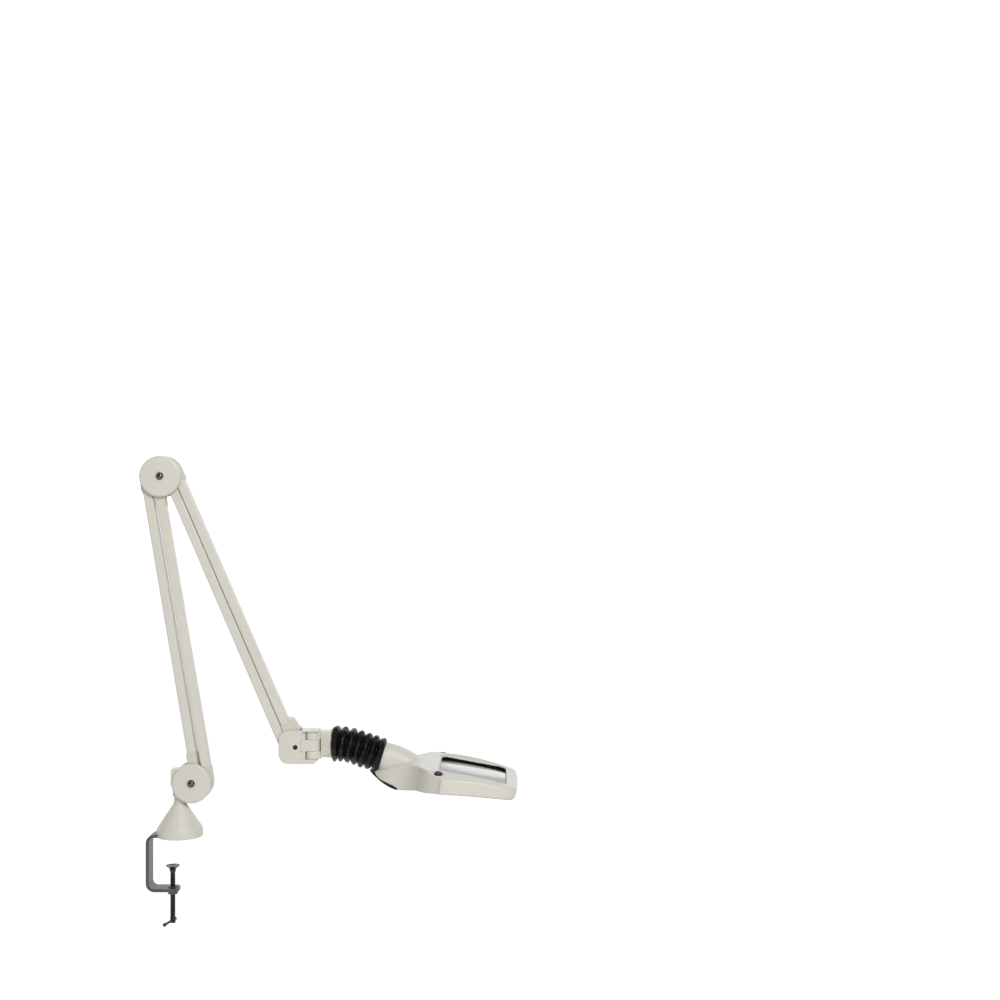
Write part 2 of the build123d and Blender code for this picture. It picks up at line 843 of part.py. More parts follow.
def arm_spring(start, angle):
    """The balance spring inside a link, drawn as the coil's outer sleeve."""
    place = start + heading(angle, fitting_length + fitting_spigot)
    with BuildPart() as spring:
        with BuildSketch(Plane(origin=place, x_dir=(0, 1, 0), z_dir=heading(angle))):
            Circle(spring_radius)
            Circle(spring_radius - spring_wire, mode=Mode.SUBTRACT)
        extrude(amount=spring_length)
    return spring


# The four links: the outer one of each arm has the shoulders and the spring
links = (
    ("lower_outer", base_pair + lower_cross, lower_arm_angle, True, False, running_clearance),
    ("lower_inner", base_pair - lower_cross, lower_arm_angle, False, False, linkage_play),
    ("upper_outer", knuckle_upper_pair + upper_cross, upper_arm_angle, True, True, running_clearance),
    ("upper_inner", knuckle_upper_pair - upper_cross, upper_arm_angle, False, False, linkage_play),
)

for link_name, link_start, link_angle, shouldered, webbed, far_play in links:
    tube = arm_tube(link_start, link_angle)
    tube.part.label = f"{link_name}_tube"
    export_step(tube.part, f"parts/{link_name}_tube.step")

    fittings = arm_fittings(link_start, link_angle, shouldered, webbed)
    fittings.part.label = f"{link_name}_fittings"
    export_step(fittings.part, f"parts/{link_name}_fittings.step")

    bushes = arm_bushes(link_start, link_angle, far_play)
    bushes.part.label = f"{link_name}_bushes"
    export_step(bushes.part, f"parts/{link_name}_bushes.step")

lower_spring = arm_spring(base_pair + lower_cross, lower_arm_angle)
lower_spring.part.label = "lower_spring"
export_step(lower_spring.part, "parts/lower_spring.step")

upper_spring = arm_spring(knuckle_upper_pair + upper_cross, upper_arm_angle)
upper_spring.part.label = "upper_spring"
export_step(upper_spring.part, "parts/upper_spring.step")

# Head bracket frame: a slot for the tube ends and the middle of the yaw hinge
bracket_plane = side_plane(bracket_centre)
frame_half_width = bracket_half_width - bracket_cover_thickness
bracket_width = bracket_left + bracket_right
bracket_middle = (bracket_right - bracket_left) / 2
middle_bottom = bracket_centre.Z + barrel_middle_z - barrel_middle_half
middle_top = bracket_centre.Z + barrel_middle_z + barrel_middle_half
ear_bottom = bracket_centre.Z - floor_top + body_gap
ear_top = bracket_centre.Z + roof_bottom - body_gap
cavity_bottom = bracket_centre.Z - floor_top
cavity_top = bracket_centre.Z + roof_bottom
barrel_x_world = barrel_centre.X
bracket_pins_at = [bracket_centre + upper_cross, bracket_centre - upper_cross]

with BuildPart() as bracket_frame:
    with BuildSketch(bracket_plane) as frame_outline:
        with Locations((bracket_middle, 0)):
            Rectangle(bracket_width, 2 * bracket_half_height)
        fillet(frame_outline.vertices().group_by(Axis.X)[0], radius=bracket_corner_radius)
        chamfer(frame_outline.vertices().group_by(Axis.X)[-1].sort_by(Axis.Y)[0], bracket_chamfer)
    extrude(amount=frame_half_width, both=True)
    with BuildSketch(bracket_plane):
        with Locations(((web_left - bracket_left) / 2 - bracket_left / 2, 0)):
            Rectangle(web_left + 2 * bracket_left, 3 * bracket_half_height)
        with Locations((web_left, bracket_half_height)):
            Rectangle(2 * roof_notch, 2 * (bracket_half_height - roof_bottom + roof_notch_depth))
        with Locations((bracket_screw_x, 0)):
            Circle(bracket_boss_radius, mode=Mode.SUBTRACT)
        with Locations(((bracket_screw_x + web_left) / 2, 0)):
            Rectangle(web_left - bracket_screw_x, 2 * bracket_boss_radius, mode=Mode.SUBTRACT)
    extrude(amount=disc_inner, both=True, mode=Mode.SUBTRACT)
    with BuildSketch(Plane.XY.offset(cavity_bottom)):
        with Locations((barrel_x_world, 0)):
            Circle(ear_sweep_radius)
        with Locations((barrel_x_world + bracket_half_width, 0)):
            Rectangle(2 * bracket_half_width, 2 * bracket_half_width)
    extrude(amount=cavity_top - cavity_bottom, mode=Mode.SUBTRACT)
    with BuildSketch(Plane.XY.offset(middle_bottom)):
        with Locations((barrel_x_world, 0)):
            Circle(barrel_radius)
        with Locations((barrel_x_world - (barrel_radius + barrel_tab_reach) / 2, 0)):
            Rectangle(barrel_radius + barrel_tab_reach, 2 * barrel_tab_half_width)
    extrude(amount=2 * barrel_middle_half)
    with BuildSketch(Plane.XY.offset(bracket_centre.Z - bracket_half_height)):
        with Locations((barrel_x_world, 0)):
            Circle(hinge_pin_radius + seat_clearance)
    extrude(amount=2 * bracket_half_height, mode=Mode.SUBTRACT)
    with BuildSketch(bracket_plane):
        with Locations((bracket_screw_x, 0)):
            Circle(bracket_screw_radius + seat_clearance)
    extrude(amount=frame_half_width, both=True, mode=Mode.SUBTRACT)
    with BuildSketch(bracket_plane):
        with Locations(*[(pin.X - bracket_centre.X, pin.Z - bracket_centre.Z) for pin in bracket_pins_at]):
            Circle(pin_radius + seat_clearance)
    extrude(amount=frame_half_width, both=True, mode=Mode.SUBTRACT)
bracket_frame.part.label = "bracket_frame"
export_step(bracket_frame.part, "parts/bracket_frame.step")

with BuildPart() as bracket_pins:
    with BuildSketch(Plane.XZ):
        with Locations(*[(pin.X, pin.Z) for pin in bracket_pins_at]):
            Circle(pin_radius)
    extrude(amount=frame_half_width, both=True)
bracket_pins.part.label = "bracket_pins"
export_step(bracket_pins.part, "parts/bracket_pins.step")


def bracket_cover(face):
    """A side cover, cut out round the hinge: face is -1 in front, 1 behind."""
    cut_left = barrel_x - barrel_radius - cutout_margin
    with BuildPart() as cover:
        with BuildSketch(bracket_plane.offset(-face * frame_half_width)) as outline:
            with Locations((bracket_middle, 0)):
                Rectangle(bracket_width, 2 * bracket_half_height)
            fillet(outline.vertices().group_by(Axis.X)[0], radius=bracket_corner_radius)
            chamfer(outline.vertices().group_by(Axis.X)[-1].sort_by(Axis.Y)[0], bracket_chamfer)
        extrude(amount=-face * bracket_cover_thickness)
        outer_face = cover.faces().sort_by(Axis.Y)[0 if face < 0 else -1]
        chamfer(outer_face.edges(), bracket_edge)
        with BuildSketch(bracket_plane.offset(-face * frame_half_width)):
            with Locations((cut_left + bracket_right / 2, (roof_bottom - floor_top) / 2)):
                Rectangle(bracket_right, roof_bottom + floor_top)
            with Locations((cut_left, barrel_middle_z)):
                Rectangle(
                    2 * (barrel_tab_reach - cutout_margin + 2 * body_gap),
                    2 * (barrel_middle_half + 2 * body_gap),
                )
            with Locations((bracket_screw_x, 0)):
                Circle(bracket_screw_radius + seat_clearance)
        extrude(amount=-face * bracket_cover_thickness, mode=Mode.SUBTRACT)
        with BuildSketch(bracket_plane.offset(-face * bracket_half_width)):
            with Locations((bracket_screw_x, 0)):
                Circle(bracket_screw_head_radius + running_clearance)
        extrude(amount=face * bracket_screw_head_height, mode=Mode.SUBTRACT)
    return cover


bracket_cover_front = bracket_cover(-1)
bracket_cover_front.part.label = "bracket_cover_front"
export_step(bracket_cover_front.part, "parts/bracket_cover_front.step")

bracket_cover_rear = bracket_cover(1)
bracket_cover_rear.part.label = "bracket_cover_rear"
export_step(bracket_cover_rear.part, "parts/bracket_cover_rear.step")

# Bracket screw through both covers, slotted head in front
with BuildPart() as bracket_screw:
    screw_back = bracket_half_width - bracket_screw_head_height
    with BuildSketch(bracket_plane.offset(-screw_back)):
        with Locations((bracket_screw_x, 0)):
            Circle(bracket_screw_radius)
    extrude(amount=2 * screw_back)
    with BuildSketch(bracket_plane.offset(screw_back)):
        with Locations((bracket_screw_x, 0)):
            Circle(bracket_screw_head_radius)
    extrude(amount=bracket_screw_head_height)
    with BuildSketch(bracket_plane.offset(bracket_half_width)):
        with Locations(Location((bracket_screw_x, 0), bracket_slot_turn)):
            Rectangle(2 * bracket_screw_head_radius, bracket_slot_width)
    extrude(amount=-bracket_screw_head_height / 2, mode=Mode.SUBTRACT)
    with BuildSketch(bracket_plane.offset(-screw_back)):
        with Locations((bracket_screw_x, 0)):
            RegularPolygon(bracket_screw_head_radius, 6)
    extrude(amount=-bracket_screw_head_height)
bracket_screw.part.label = "bracket_screw"
export_step(bracket_screw.part, "parts/bracket_screw.step")

# Upright pin of the yaw hinge, held in the bracket's floor and roof
with BuildPart() as hinge_pin:
    with BuildSketch(Plane.XY.offset(bracket_centre.Z - bracket_half_height + hinge_pin_sink)):
        with Locations((barrel_x_world, 0)):
            Circle(hinge_pin_radius)
    extrude(amount=2 * bracket_half_height - 2 * hinge_pin_sink)
hinge_pin.part.label = "hinge_pin"
export_step(hinge_pin.part, "parts/hinge_pin.step")

# Yaw collar: two ears round the hinge pin, a faceted neck, and tilt lugs
collar_root = barrel_radius + 2 * body_gap
collar_face_x = barrel_x_world + collar_length
collar_axis_z = bracket_centre.Z + collar_z
ear_gap_bottom = middle_bottom - body_gap
ear_gap_top = middle_top + body_gap
lug_end = tilt_forward + lug_height / 2


def facet_section(plane, half_width, half_height, facet):
    """An eight-sided collar section, as a new sketch on a cross plane."""
    with BuildSketch(plane) as section:
        Rectangle(2 * half_width, 2 * half_height)
        chamfer(section.vertices(), facet)
    return section


def cross_plane(x):
    """An upright plane across the collar at a place along it."""
    return Plane(origin=(x, 0, collar_axis_z), x_dir=(0, 1, 0), z_dir=(1, 0, 0))


root_plane = cross_plane(barrel_x_world + collar_root)
collar_root_section = facet_section(root_plane, collar_root_half_width, collar_root_half_height, body_gap)
collar_face_section = facet_section(cross_plane(collar_face_x), collar_half_height, collar_half_height, collar_facet)

with BuildPart() as yaw_collar:
    with BuildSketch(Plane.XY.offset(ear_bottom)):
        with Locations((barrel_x_world, 0)):
            Circle(barrel_radius)
        with Locations((barrel_x_world + collar_root / 2, 0)):
            Rectangle(collar_root, 2 * ear_half_width)
    extrude(amount=ear_top - ear_bottom)
    with BuildSketch(Plane.XY.offset(ear_gap_bottom)):
        with Locations((barrel_x_world + collar_root / 2 - barrel_radius, 0)):
            Rectangle(collar_root + 2 * barrel_radius, 4 * barrel_radius)
    extrude(amount=ear_gap_top - ear_gap_bottom, mode=Mode.SUBTRACT)
    add(collar_root_section.sketch)
    add(collar_face_section.sketch)
    loft(ruled=True)
    with BuildSketch(cross_plane(collar_face_x)):
        Circle(collar_spigot_radius)
    extrude(amount=collar_spigot_length)
    with BuildSketch(cross_plane(collar_face_x + collar_spigot_length - collar_cup_depth)):
        Circle(collar_cup_radius)
    extrude(amount=collar_cup_depth, mode=Mode.SUBTRACT)
    with BuildSketch(side_plane(collar_centre)):
        with Locations((tilt_forward / 2, 0)):
            Rectangle(tilt_forward, lug_height)
        with Locations((tilt_forward, 0)):
            Circle(lug_height / 2)
            Circle(tilt_pin_radius + seat_clearance, mode=Mode.SUBTRACT)
    extrude(amount=lug_half_width, both=True)
    with BuildSketch(side_plane(collar_centre)):
        with Locations((collar_spigot_length - collar_cup_depth + lug_end, 0)):
            Rectangle(2 * lug_end, 2 * lug_height)
    extrude(amount=blade_half_width + body_gap, both=True, mode=Mode.SUBTRACT)
    with BuildSketch(Plane.XY.offset(ear_bottom)):
        with Locations((barrel_x_world, 0)):
            Circle(hinge_pin_radius + running_clearance)
    extrude(amount=ear_top - ear_bottom, mode=Mode.SUBTRACT)
yaw_collar.part.label = "yaw_collar"
export_step(yaw_collar.part, "parts/yaw_collar.step")

# Tilt pin across the lugs
with BuildPart() as tilt_pin:
    with BuildSketch(side_plane(tilt_pivot)):
        Circle(tilt_pin_radius)
    extrude(amount=lug_half_width, both=True)
tilt_pin.part.label = "tilt_pin"
export_step(tilt_pin.part, "parts/tilt_pin.step")

# Tilt arm: a blade on the tilt pin, ending in a plug inside the head's neck
reach_vector = neck_end - tilt_pivot
reach_length = reach_vector.length
reach_angle = math.degrees(math.atan2(reach_vector.Z, reach_vector.X))
neck_cross = Plane(origin=neck_end, x_dir=(0, 1, 0), z_dir=heading(neck_angle))
plug_start = -neck_spigot_length + 1

with BuildPart() as tilt_arm:
    with BuildSketch(side_plane(tilt_pivot, reach_angle)):
        with Locations((reach_length / 2, 0)):
            Rectangle(reach_length, blade_height)
        Circle(blade_height / 2)
    extrude(amount=blade_half_width, both=True)
    with BuildSketch(neck_cross.offset(plug_start)):
        Circle(neck_bore_radius - seat_clearance)
    extrude(amount=neck_bore_depth - plug_start)
    with BuildSketch(side_plane(tilt_pivot)):
        Circle(tilt_pin_radius + running_clearance)
    extrude(amount=blade_half_width, both=True, mode=Mode.SUBTRACT)
tilt_arm.part.label = "tilt_arm"
export_step(tilt_arm.part, "parts/tilt_arm.step")

# Bellows: hollow lobes on a bent centre line from the collar to the neck
bellows_start = collar_centre + Vector(body_gap, 0, 0)


def bellows_plane(share):
    """A plane across the bellows at a share of the way along it."""
    start_dir = heading(0)
    end_dir = heading(neck_angle)
    chord = (neck_end - bellows_start).length
    a = (1 - share) ** 3
    b = 3 * share * (1 - share) ** 2
    c = 3 * share**2 * (1 - share)
    d = share**3
    near = bellows_start + start_dir * (chord / 3)
    far = neck_end - end_dir * (chord / 3)
    place = bellows_start * a + near * b + far * c + neck_end * d
    return Plane(origin=place, x_dir=(0, 1, 0), z_dir=heading(neck_angle * share))


def bellows_rings(inset):
    """The circles of the ruled lobes, from the collar to the neck."""
    rings = []
    steps = 2 * bellows_lobes
    for step in range(steps + 1):
        if step == 0:
            radius = collar_spigot_radius + body_gap + bellows_wall
        elif step == steps:
            radius = neck_spigot_radius + body_gap + bellows_wall
        elif step == steps - 1:
            radius = bellows_last_radius
        elif step % 2:
            radius = bellows_lobe_radius
        else:
            radius = bellows_valley_radius
        with BuildSketch(bellows_plane(step / steps)) as ring:
            Circle(radius - inset)
        rings.append(ring.sketch)
    return rings


with BuildPart() as bellows:
    loft(bellows_rings(0), ruled=True)
    loft(bellows_rings(bellows_wall), ruled=True, mode=Mode.SUBTRACT)
bellows.part.label = "bellows"
export_step(bellows.part, "parts/bellows.step")

# Head housing: outline, side profile and sloped roof meet in one wave form
head_span = 2 * shoulder_half_width
head_reach = 3 * abs(chin_depth)
head_back = head_side.offset(-head_span)
side_end = (head_length - front_bow, front_half_width)
slope_rate = math.tan(math.radians(roof_slope))


def inward(points, distance):
    """A row of side-view points moved square to the row, to its right."""
    moved = []
    for index, point in enumerate(points):
        before = points[max(index - 1, 0)]
        after = points[min(index + 1, len(points) - 1)]
        run = after[0] - before[0]
        rise = after[1] - before[1]
        reach = distance / math.hypot(run, rise)
        moved.append((point[0] + rise * reach, point[1] - run * reach))
    return moved


def head_outline(inset):
    """The head seen from above, pointed at the chin and square in front."""
    row = inward(plan_points + [side_end], inset)
    tip_x = plan_points[0][0] + inset * math.hypot(*plan_tangents[0]) / plan_tangents[0][1]
    front_end = row[-1]
    with BuildSketch(head_top) as outline:
        with BuildLine():
            half_side = Spline([(tip_x, 0)] + row[1:-1], tangents=plan_tangents)
            Line(half_side @ 1, front_end)
            mirror(about=Plane.XZ)
            ThreePointArc(front_end, (head_length - inset, 0), (front_end[0], -front_end[1]))
        make_face()
        fillet(outline.vertices().group_by(Axis.X)[-1], radius=front_corner_radius - inset)
    return outline


def crown_profile(plane, inset):
    """Everything below the head's top line, seen from the side."""
    row = inward(top_points, inset)
    with BuildSketch(plane) as profile:
        with BuildLine():
            top = Spline(row)
            Polyline(top @ 1, (row[-1][0], -head_reach), (row[0][0], -head_reach), top @ 0)
        make_face()
    return profile


def floor_profile(inset):
    """Everything above the head's bottom line, seen from the side."""
    row = inward(bottom_points, inset)
    with BuildSketch(head_back) as profile:
        with BuildLine():
            bottom = Spline(row)
            Polyline(bottom @ 1, (row[-1][0], head_reach), (row[0][0], head_reach), bottom @ 0)
        make_face()
    return profile


def head_solid(inset):
    """The solid head form, inset all round by one wall or none."""
    outline = head_outline(inset)
    crown = crown_profile(head_side, inset)
    floor = floor_profile(inset)
    with BuildPart() as form:
        add(crown.sketch)
        extrude(amount=roof_flat, dir=across, both=True)
        for side in (1, -1):
            wing = crown_profile(head_side.offset(-side * roof_flat), inset)
            add(wing.sketch)
            extrude(amount=head_span, dir=slope_direction(side))
        add(floor.sketch)
        extrude(amount=2 * head_span, dir=across, mode=Mode.INTERSECT)
        add(outline.sketch)
        extrude(amount=head_reach, dir=head_top.z_dir, both=True, mode=Mode.INTERSECT)
    return form


def slope_direction(side):
    """Down the roof's slope, away from the lens."""
    slope = math.radians(roof_slope)
    return Vector(0, side * math.cos(slope), 0) - head_top.z_dir * math.sin(slope)


def prism(outline, low, high):
    """A head-frame outline made solid between two heights."""
    with BuildPart() as body:
        add(outline.sketch)
        extrude(amount=high, dir=head_top.z_dir)
        add(outline.sketch)
        extrude(amount=low, dir=head_top.z_dir)
    return body


def lens_outline(margin):
    """The lens's rounded rectangle seen from above, grown by a margin."""
    with BuildSketch(head_top) as outline:
        with Locations((lens_x, 0)):
            RectangleRounded(lens_depth + 2 * margin, lens_width + 2 * margin, lens_corner_radius + margin)
    return outline


def lens_ball(side):
    """The ball whose skin is the lens's upper (1) or lower (-1) face."""
    lens_dome = lens_curve_radius - lens_thickness / 2
    with BuildPart() as ball:
        with Locations(head_top.from_local_coords(Vector(lens_x, 0, lens_z - side * lens_dome))):
            Sphere(lens_curve_radius, rotation=(90, 0, 0))
    return ball


def window_outline(side, margin):
    """A leaf-shaped light window beside the lens, pointed at both ends."""
    tip_margin = margin * window_tip_ratio
    rear = (window_rear[0] + tip_margin, side * (window_rear[1] - margin))
    front = (window_front[0] - tip_margin, side * window_front[1])
    inner_mid = (window_inner_mid[0], side * (window_inner_mid[1] + margin))
    outer_mid = (window_outer_mid[0], side * (window_outer_mid[1] - margin))
    with BuildSketch(head_top) as outline:
        with BuildLine():
            ThreePointArc(rear, inner_mid, front)
            ThreePointArc(rear, outer_mid, front)
        make_face()
    return outline


def crown_height(x):
    """The height of the head's top line, straight between its points."""
    for near, far in zip(top_points, top_points[1:]):
        if near[0] <= x <= far[0]:
            return near[1] + (far[1] - near[1]) * (x - near[0]) / (far[0] - near[0])
    return top_points[-1][1]


def button_plane(side):
    """The plane of the sloped roof under one button, z axis outwards."""
    height = crown_height(button_x) - (button_y - roof_flat) * slope_rate
    place = head_top.from_local_coords(Vector(button_x, side * button_y, height))
    run = 2 * button_radius
    rise = crown_height(button_x + button_radius) - crown_height(button_x - button_radius)
    along = head_top.from_local_coords(Vector(run, 0, rise)) - head_top.origin
    down = slope_direction(side)
    return Plane(origin=place, x_dir=along, z_dir=along.cross(down) * side)


def round_button(plane, margin):
    """A button outline grown by a margin."""
    with BuildSketch(plane) as outline:
        Circle(button_radius + margin)
    return outline


def lens_dish(drop):
    """The shallow dish round the lens opening, lowered by a drop."""
    with BuildPart() as dish:
        with BuildSketch(head_top.offset(dish_z - drop)):
            with Locations((lens_x, 0)):
                RectangleRounded(
                    lens_depth - 2 * lens_lip,
                    lens_width - 2 * lens_lip,
                    lens_corner_radius - lens_lip,
                )
        extrude(amount=dish_height, taper=-dish_angle)
    return dish


head_form = head_solid(0)
head_cavity = head_solid(housing_wall)
dish_cut = lens_dish(0)
dish_wall = lens_dish(housing_wall)
inner_outline = head_outline(skirt_inset)
lens_opening = prism(lens_outline(-lens_lip), -head_reach, head_reach)
upper_ball = lens_ball(1)
lower_ball = lens_ball(-1)

# The dark underside: the chin, and the floor inside the skirt
floor_row = inward(bottom_points[: len(bottom_points) - chin_point_count], underside_thickness)

with BuildPart() as underside_zone:
    add(inner_outline.sketch)
    extrude(amount=head_reach, dir=head_top.z_dir, both=True)
    with BuildSketch(head_back):
        with BuildLine():
            floor_line = Spline(floor_row + [(chin_split_x, chin_split_z)])
            Polyline(
                floor_line @ 1,
                (chin_split_x, -head_reach),
                (floor_row[0][0], -head_reach),
                floor_line @ 0,
            )
        make_face()
    extrude(amount=2 * head_span, dir=across, mode=Mode.INTERSECT)
    with BuildSketch(head_back):
        with BuildLine():
            chin_line = Spline(chin_points)
            Polyline(
                chin_line @ 1,
                (chin_split_x, -head_reach),
                (chin_points[0][0], -head_reach),
                chin_line @ 0,
            )
        make_face()
    extrude(amount=2 * head_span, dir=across)

# The room inside the head, under the roof and its dish
with BuildPart() as head_room:
    add(head_cavity.part)
    add(dish_wall.part, mode=Mode.SUBTRACT)

# Neck cone: from the bellows end it sinks into the flat top
with BuildPart() as neck_cone:
    with BuildSketch(neck_cross):
        Circle(neck_radius)
    for along, lift, half_width, half_height in neck_cone_sections:
        with BuildSketch(neck_cross.offset(along)):
            with Locations((0, lift)):
                Ellipse(half_width, half_height)
    loft()
    with BuildSketch(neck_cross.offset(-neck_spigot_length)):
        Circle(neck_spigot_radius)
    extrude(amount=neck_spigot_length)

with BuildPart() as neck_bore:
    with BuildSketch(neck_cross.offset(-neck_spigot_length)):
        Circle(neck_bore_radius)
    extrude(amount=neck_spigot_length + neck_bore_depth)

# Posts inside the head, screw holes and button holes
screw_seats = [
    (rear_screw_x, rear_screw_y, rear_screw_seat),
    (rear_screw_x, -rear_screw_y, rear_screw_seat),
    (front_screw_x, front_screw_y, front_screw_seat),
    (front_screw_x, -front_screw_y, front_screw_seat),
]
board_posts = [
    (x, side * y)
    for side in (1, -1)
    for x, y in ((board_post_rear_x, board_post_rear_y), (board_post_front_x, board_post_front_y))
]
driver_posts = [
    (driver_x + step_x * driver_post_x, step_y * driver_post_y)
    for step_x in (1, -1)
    for step_y in (1, -1)
]
board_top = board_z + board_thickness
driver_top = driver_z + board_thickness
cap_bottom = -housing_wall - body_gap
flange_bottom = cap_bottom - button_flange
stem_bottom = flange_bottom - button_stem_length
switch_top = stem_bottom - button_travel - body_gap
switch_bottom = switch_top - switch_height

with BuildPart() as roof_posts:
    with BuildSketch(head_top.offset(board_top)):
        with Locations(*board_posts):
            Circle(board_post_radius)
    extrude(amount=head_reach)
    with BuildSketch(head_top.offset(driver_top)):
        with Locations(*driver_posts):
            Circle(board_post_radius)
    extrude(amount=head_reach)
    for x, y, seat in screw_seats:
        with BuildSketch(head_top.offset(seat + screw_boss_floor)):
            with Locations((x, y)):
                Circle(roof_boss_radius)
        extrude(amount=head_reach)
    add(head_room.part, mode=Mode.INTERSECT)

with BuildPart() as floor_posts:
    for side in (1, -1):
        with BuildSketch(button_plane(side).offset(switch_bottom)):
            Circle(switch_post_radius)
        extrude(amount=-head_reach)
    for x, y, seat in screw_seats:
        with BuildSketch(head_top.offset(seat + screw_boss_floor)):
            with Locations((x, y)):
                Circle(floor_boss_radius)
        extrude(amount=-head_reach)
    add(head_form.part, mode=Mode.INTERSECT)

with BuildPart() as screw_cuts:
    for x, y, seat in screw_seats:
        with BuildSketch(head_top.offset(seat)):
            with Locations((x, y)):
                Circle(screw_radius + seat_clearance)
        extrude(amount=screw_length)
        with BuildSketch(head_top.offset(seat)):
            with Locations((x, y)):
                Circle(screw_head_radius + body_gap)
        extrude(amount=-head_reach)

with BuildPart() as button_holes:
    for side in (1, -1):
        hole = round_button(button_plane(side), body_gap)
        add(hole.sketch)
        extrude(amount=housing_wall, dir=button_plane(side).z_dir, both=True)

with BuildPart() as windows:
    for side in (1, -1):
        window = window_outline(side, 0)
        add(window.sketch)
        extrude(amount=-head_reach, dir=head_top.z_dir)

with BuildPart() as head_housing:
    add(head_form.part)
    add(neck_cone.part)
    add(dish_cut.part, mode=Mode.SUBTRACT)
    add(head_room.part, mode=Mode.SUBTRACT)
    add(roof_posts.part)
    add(underside_zone.part, mode=Mode.SUBTRACT)
    add(neck_bore.part, mode=Mode.SUBTRACT)
    add(lens_opening.part, mode=Mode.SUBTRACT)
    add(screw_cuts.part, mode=Mode.SUBTRACT)
    add(button_holes.part, mode=Mode.SUBTRACT)
head_housing.part.label = "head_housing"
export_step(head_housing.part, "parts/head_housing.step")

with BuildPart() as head_underside:
    add(head_form.part)
    add(head_room.part, mode=Mode.SUBTRACT)
    add(underside_zone.part, mode=Mode.INTERSECT)
    add(floor_posts.part)
    add(neck_bore.part, mode=Mode.SUBTRACT)
    add(lens_opening.part, mode=Mode.SUBTRACT)
    add(screw_cuts.part, mode=Mode.SUBTRACT)
    add(windows.part, mode=Mode.SUBTRACT)
head_underside.part.label = "head_underside"
export_step(head_underside.part, "parts/head_underside.step")

# Lens, the black well it sits in, and the gasket over its edge
with BuildPart() as lens:
    lens_block = prism(lens_outline(0), -head_reach, head_reach)
    add(lens_block.part)
    add(upper_ball.part, mode=Mode.INTERSECT)
    add(lower_ball.part, mode=Mode.INTERSECT)
lens.part.label = "lens"
export_step(lens.part, "parts/lens.step")

with BuildPart() as lens_pocket:
    pocket_block = prism(lens_outline(seat_clearance), -head_reach, head_reach)
    add(pocket_block.part)
    add(lower_ball.part, mode=Mode.INTERSECT)

with BuildPart() as lens_frame:
    frame_block = prism(lens_outline(lens_frame_wall), -head_reach, head_reach)
    add(frame_block.part)
    add(head_room.part, mode=Mode.INTERSECT)
    add(lens_opening.part, mode=Mode.SUBTRACT)
    add(lens_pocket.part, mode=Mode.SUBTRACT)
lens_frame.part.label = "lens_frame"
export_step(lens_frame.part, "parts/lens_frame.step")

with BuildPart() as lens_gasket:
    add(lens_block.part)
    add(head_room.part, mode=Mode.INTERSECT)
    add(lens_opening.part, mode=Mode.SUBTRACT)
    add(upper_ball.part, mode=Mode.SUBTRACT)
    with BuildSketch(head_top.offset(lens_z)):
        with Locations((lens_x, 0)):
            Rectangle(head_span, head_span)
    extrude(amount=-head_reach, mode=Mode.SUBTRACT)
lens_gasket.part.label = "lens_gasket"
export_step(lens_gasket.part, "parts/lens_gasket.step")

# Light windows: a diffuser in each, and a lamp board above it
with BuildPart() as diffusers:
    for side in (1, -1):
        pane = window_outline(side, seat_clearance)
        add(pane.sketch)
        extrude(amount=-head_reach, dir=head_top.z_dir)
    add(head_form.part, mode=Mode.INTERSECT)
    add(head_room.part, mode=Mode.SUBTRACT)
diffusers.part.label = "diffusers"
export_step(diffusers.part, "parts/diffusers.step")

with BuildPart() as light_boards:
    for side in (1, -1):
        board = window_outline(side, board_margin)
        with BuildPart(mode=Mode.PRIVATE) as panel:
            add(board.sketch)
            extrude(amount=board_thickness, dir=head_top.z_dir)
        with Locations(head_top.z_dir * board_z):
            add(panel.part)
        with BuildSketch(head_top.offset(board_z)):
            for index in range(lamp_count):
                share = index / (lamp_count - 1)
                with Locations((lamp_rear_x + share * lamp_run, side * (lamp_rear_y - share * lamp_drop))):
                    Rectangle(lamp_size, lamp_size)
        extrude(amount=-lamp_height)
light_boards.part.label = "light_boards"
export_step(light_boards.part, "parts/light_boards.step")

# Driver board hung under the roof behind the lens
with BuildPart() as driver_board:
    with BuildSketch(head_top.offset(driver_z)):
        with Locations((driver_x, 0)):
            Rectangle(driver_length, driver_width)
    extrude(amount=board_thickness)
    with BuildSketch(head_top.offset(driver_z)):
        with Locations((driver_x - driver_length / 4, 0)):
            Rectangle(driver_length / 4, driver_width / 2)
        with Locations((driver_x + driver_length / 4, 0)):
            Circle(driver_width / 6)
    extrude(amount=-driver_part_height)
driver_board.part.label = "driver_board"
export_step(driver_board.part, "parts/driver_board.step")

# Screws that hold the underside to the housing
with BuildPart() as housing_screws:
    for x, y, seat in screw_seats:
        with BuildSketch(head_top.offset(seat)):
            with Locations((x, y)):
                Circle(screw_radius)
        extrude(amount=screw_length - screw_tip_gap)
        with BuildSketch(head_top.offset(seat)):
            with Locations((x, y)):
                Circle(screw_head_radius)
        extrude(amount=-screw_head_height)
        with BuildSketch(head_top.offset(seat - screw_head_height)):
            with Locations((x, y)):
                Rectangle(screw_radius * 2, screw_radius / 2)
                Rectangle(screw_radius / 2, screw_radius * 2)
        extrude(amount=screw_head_height / 2, mode=Mode.SUBTRACT)
housing_screws.part.label = "housing_screws"
export_step(housing_screws.part, "parts/housing_screws.step")


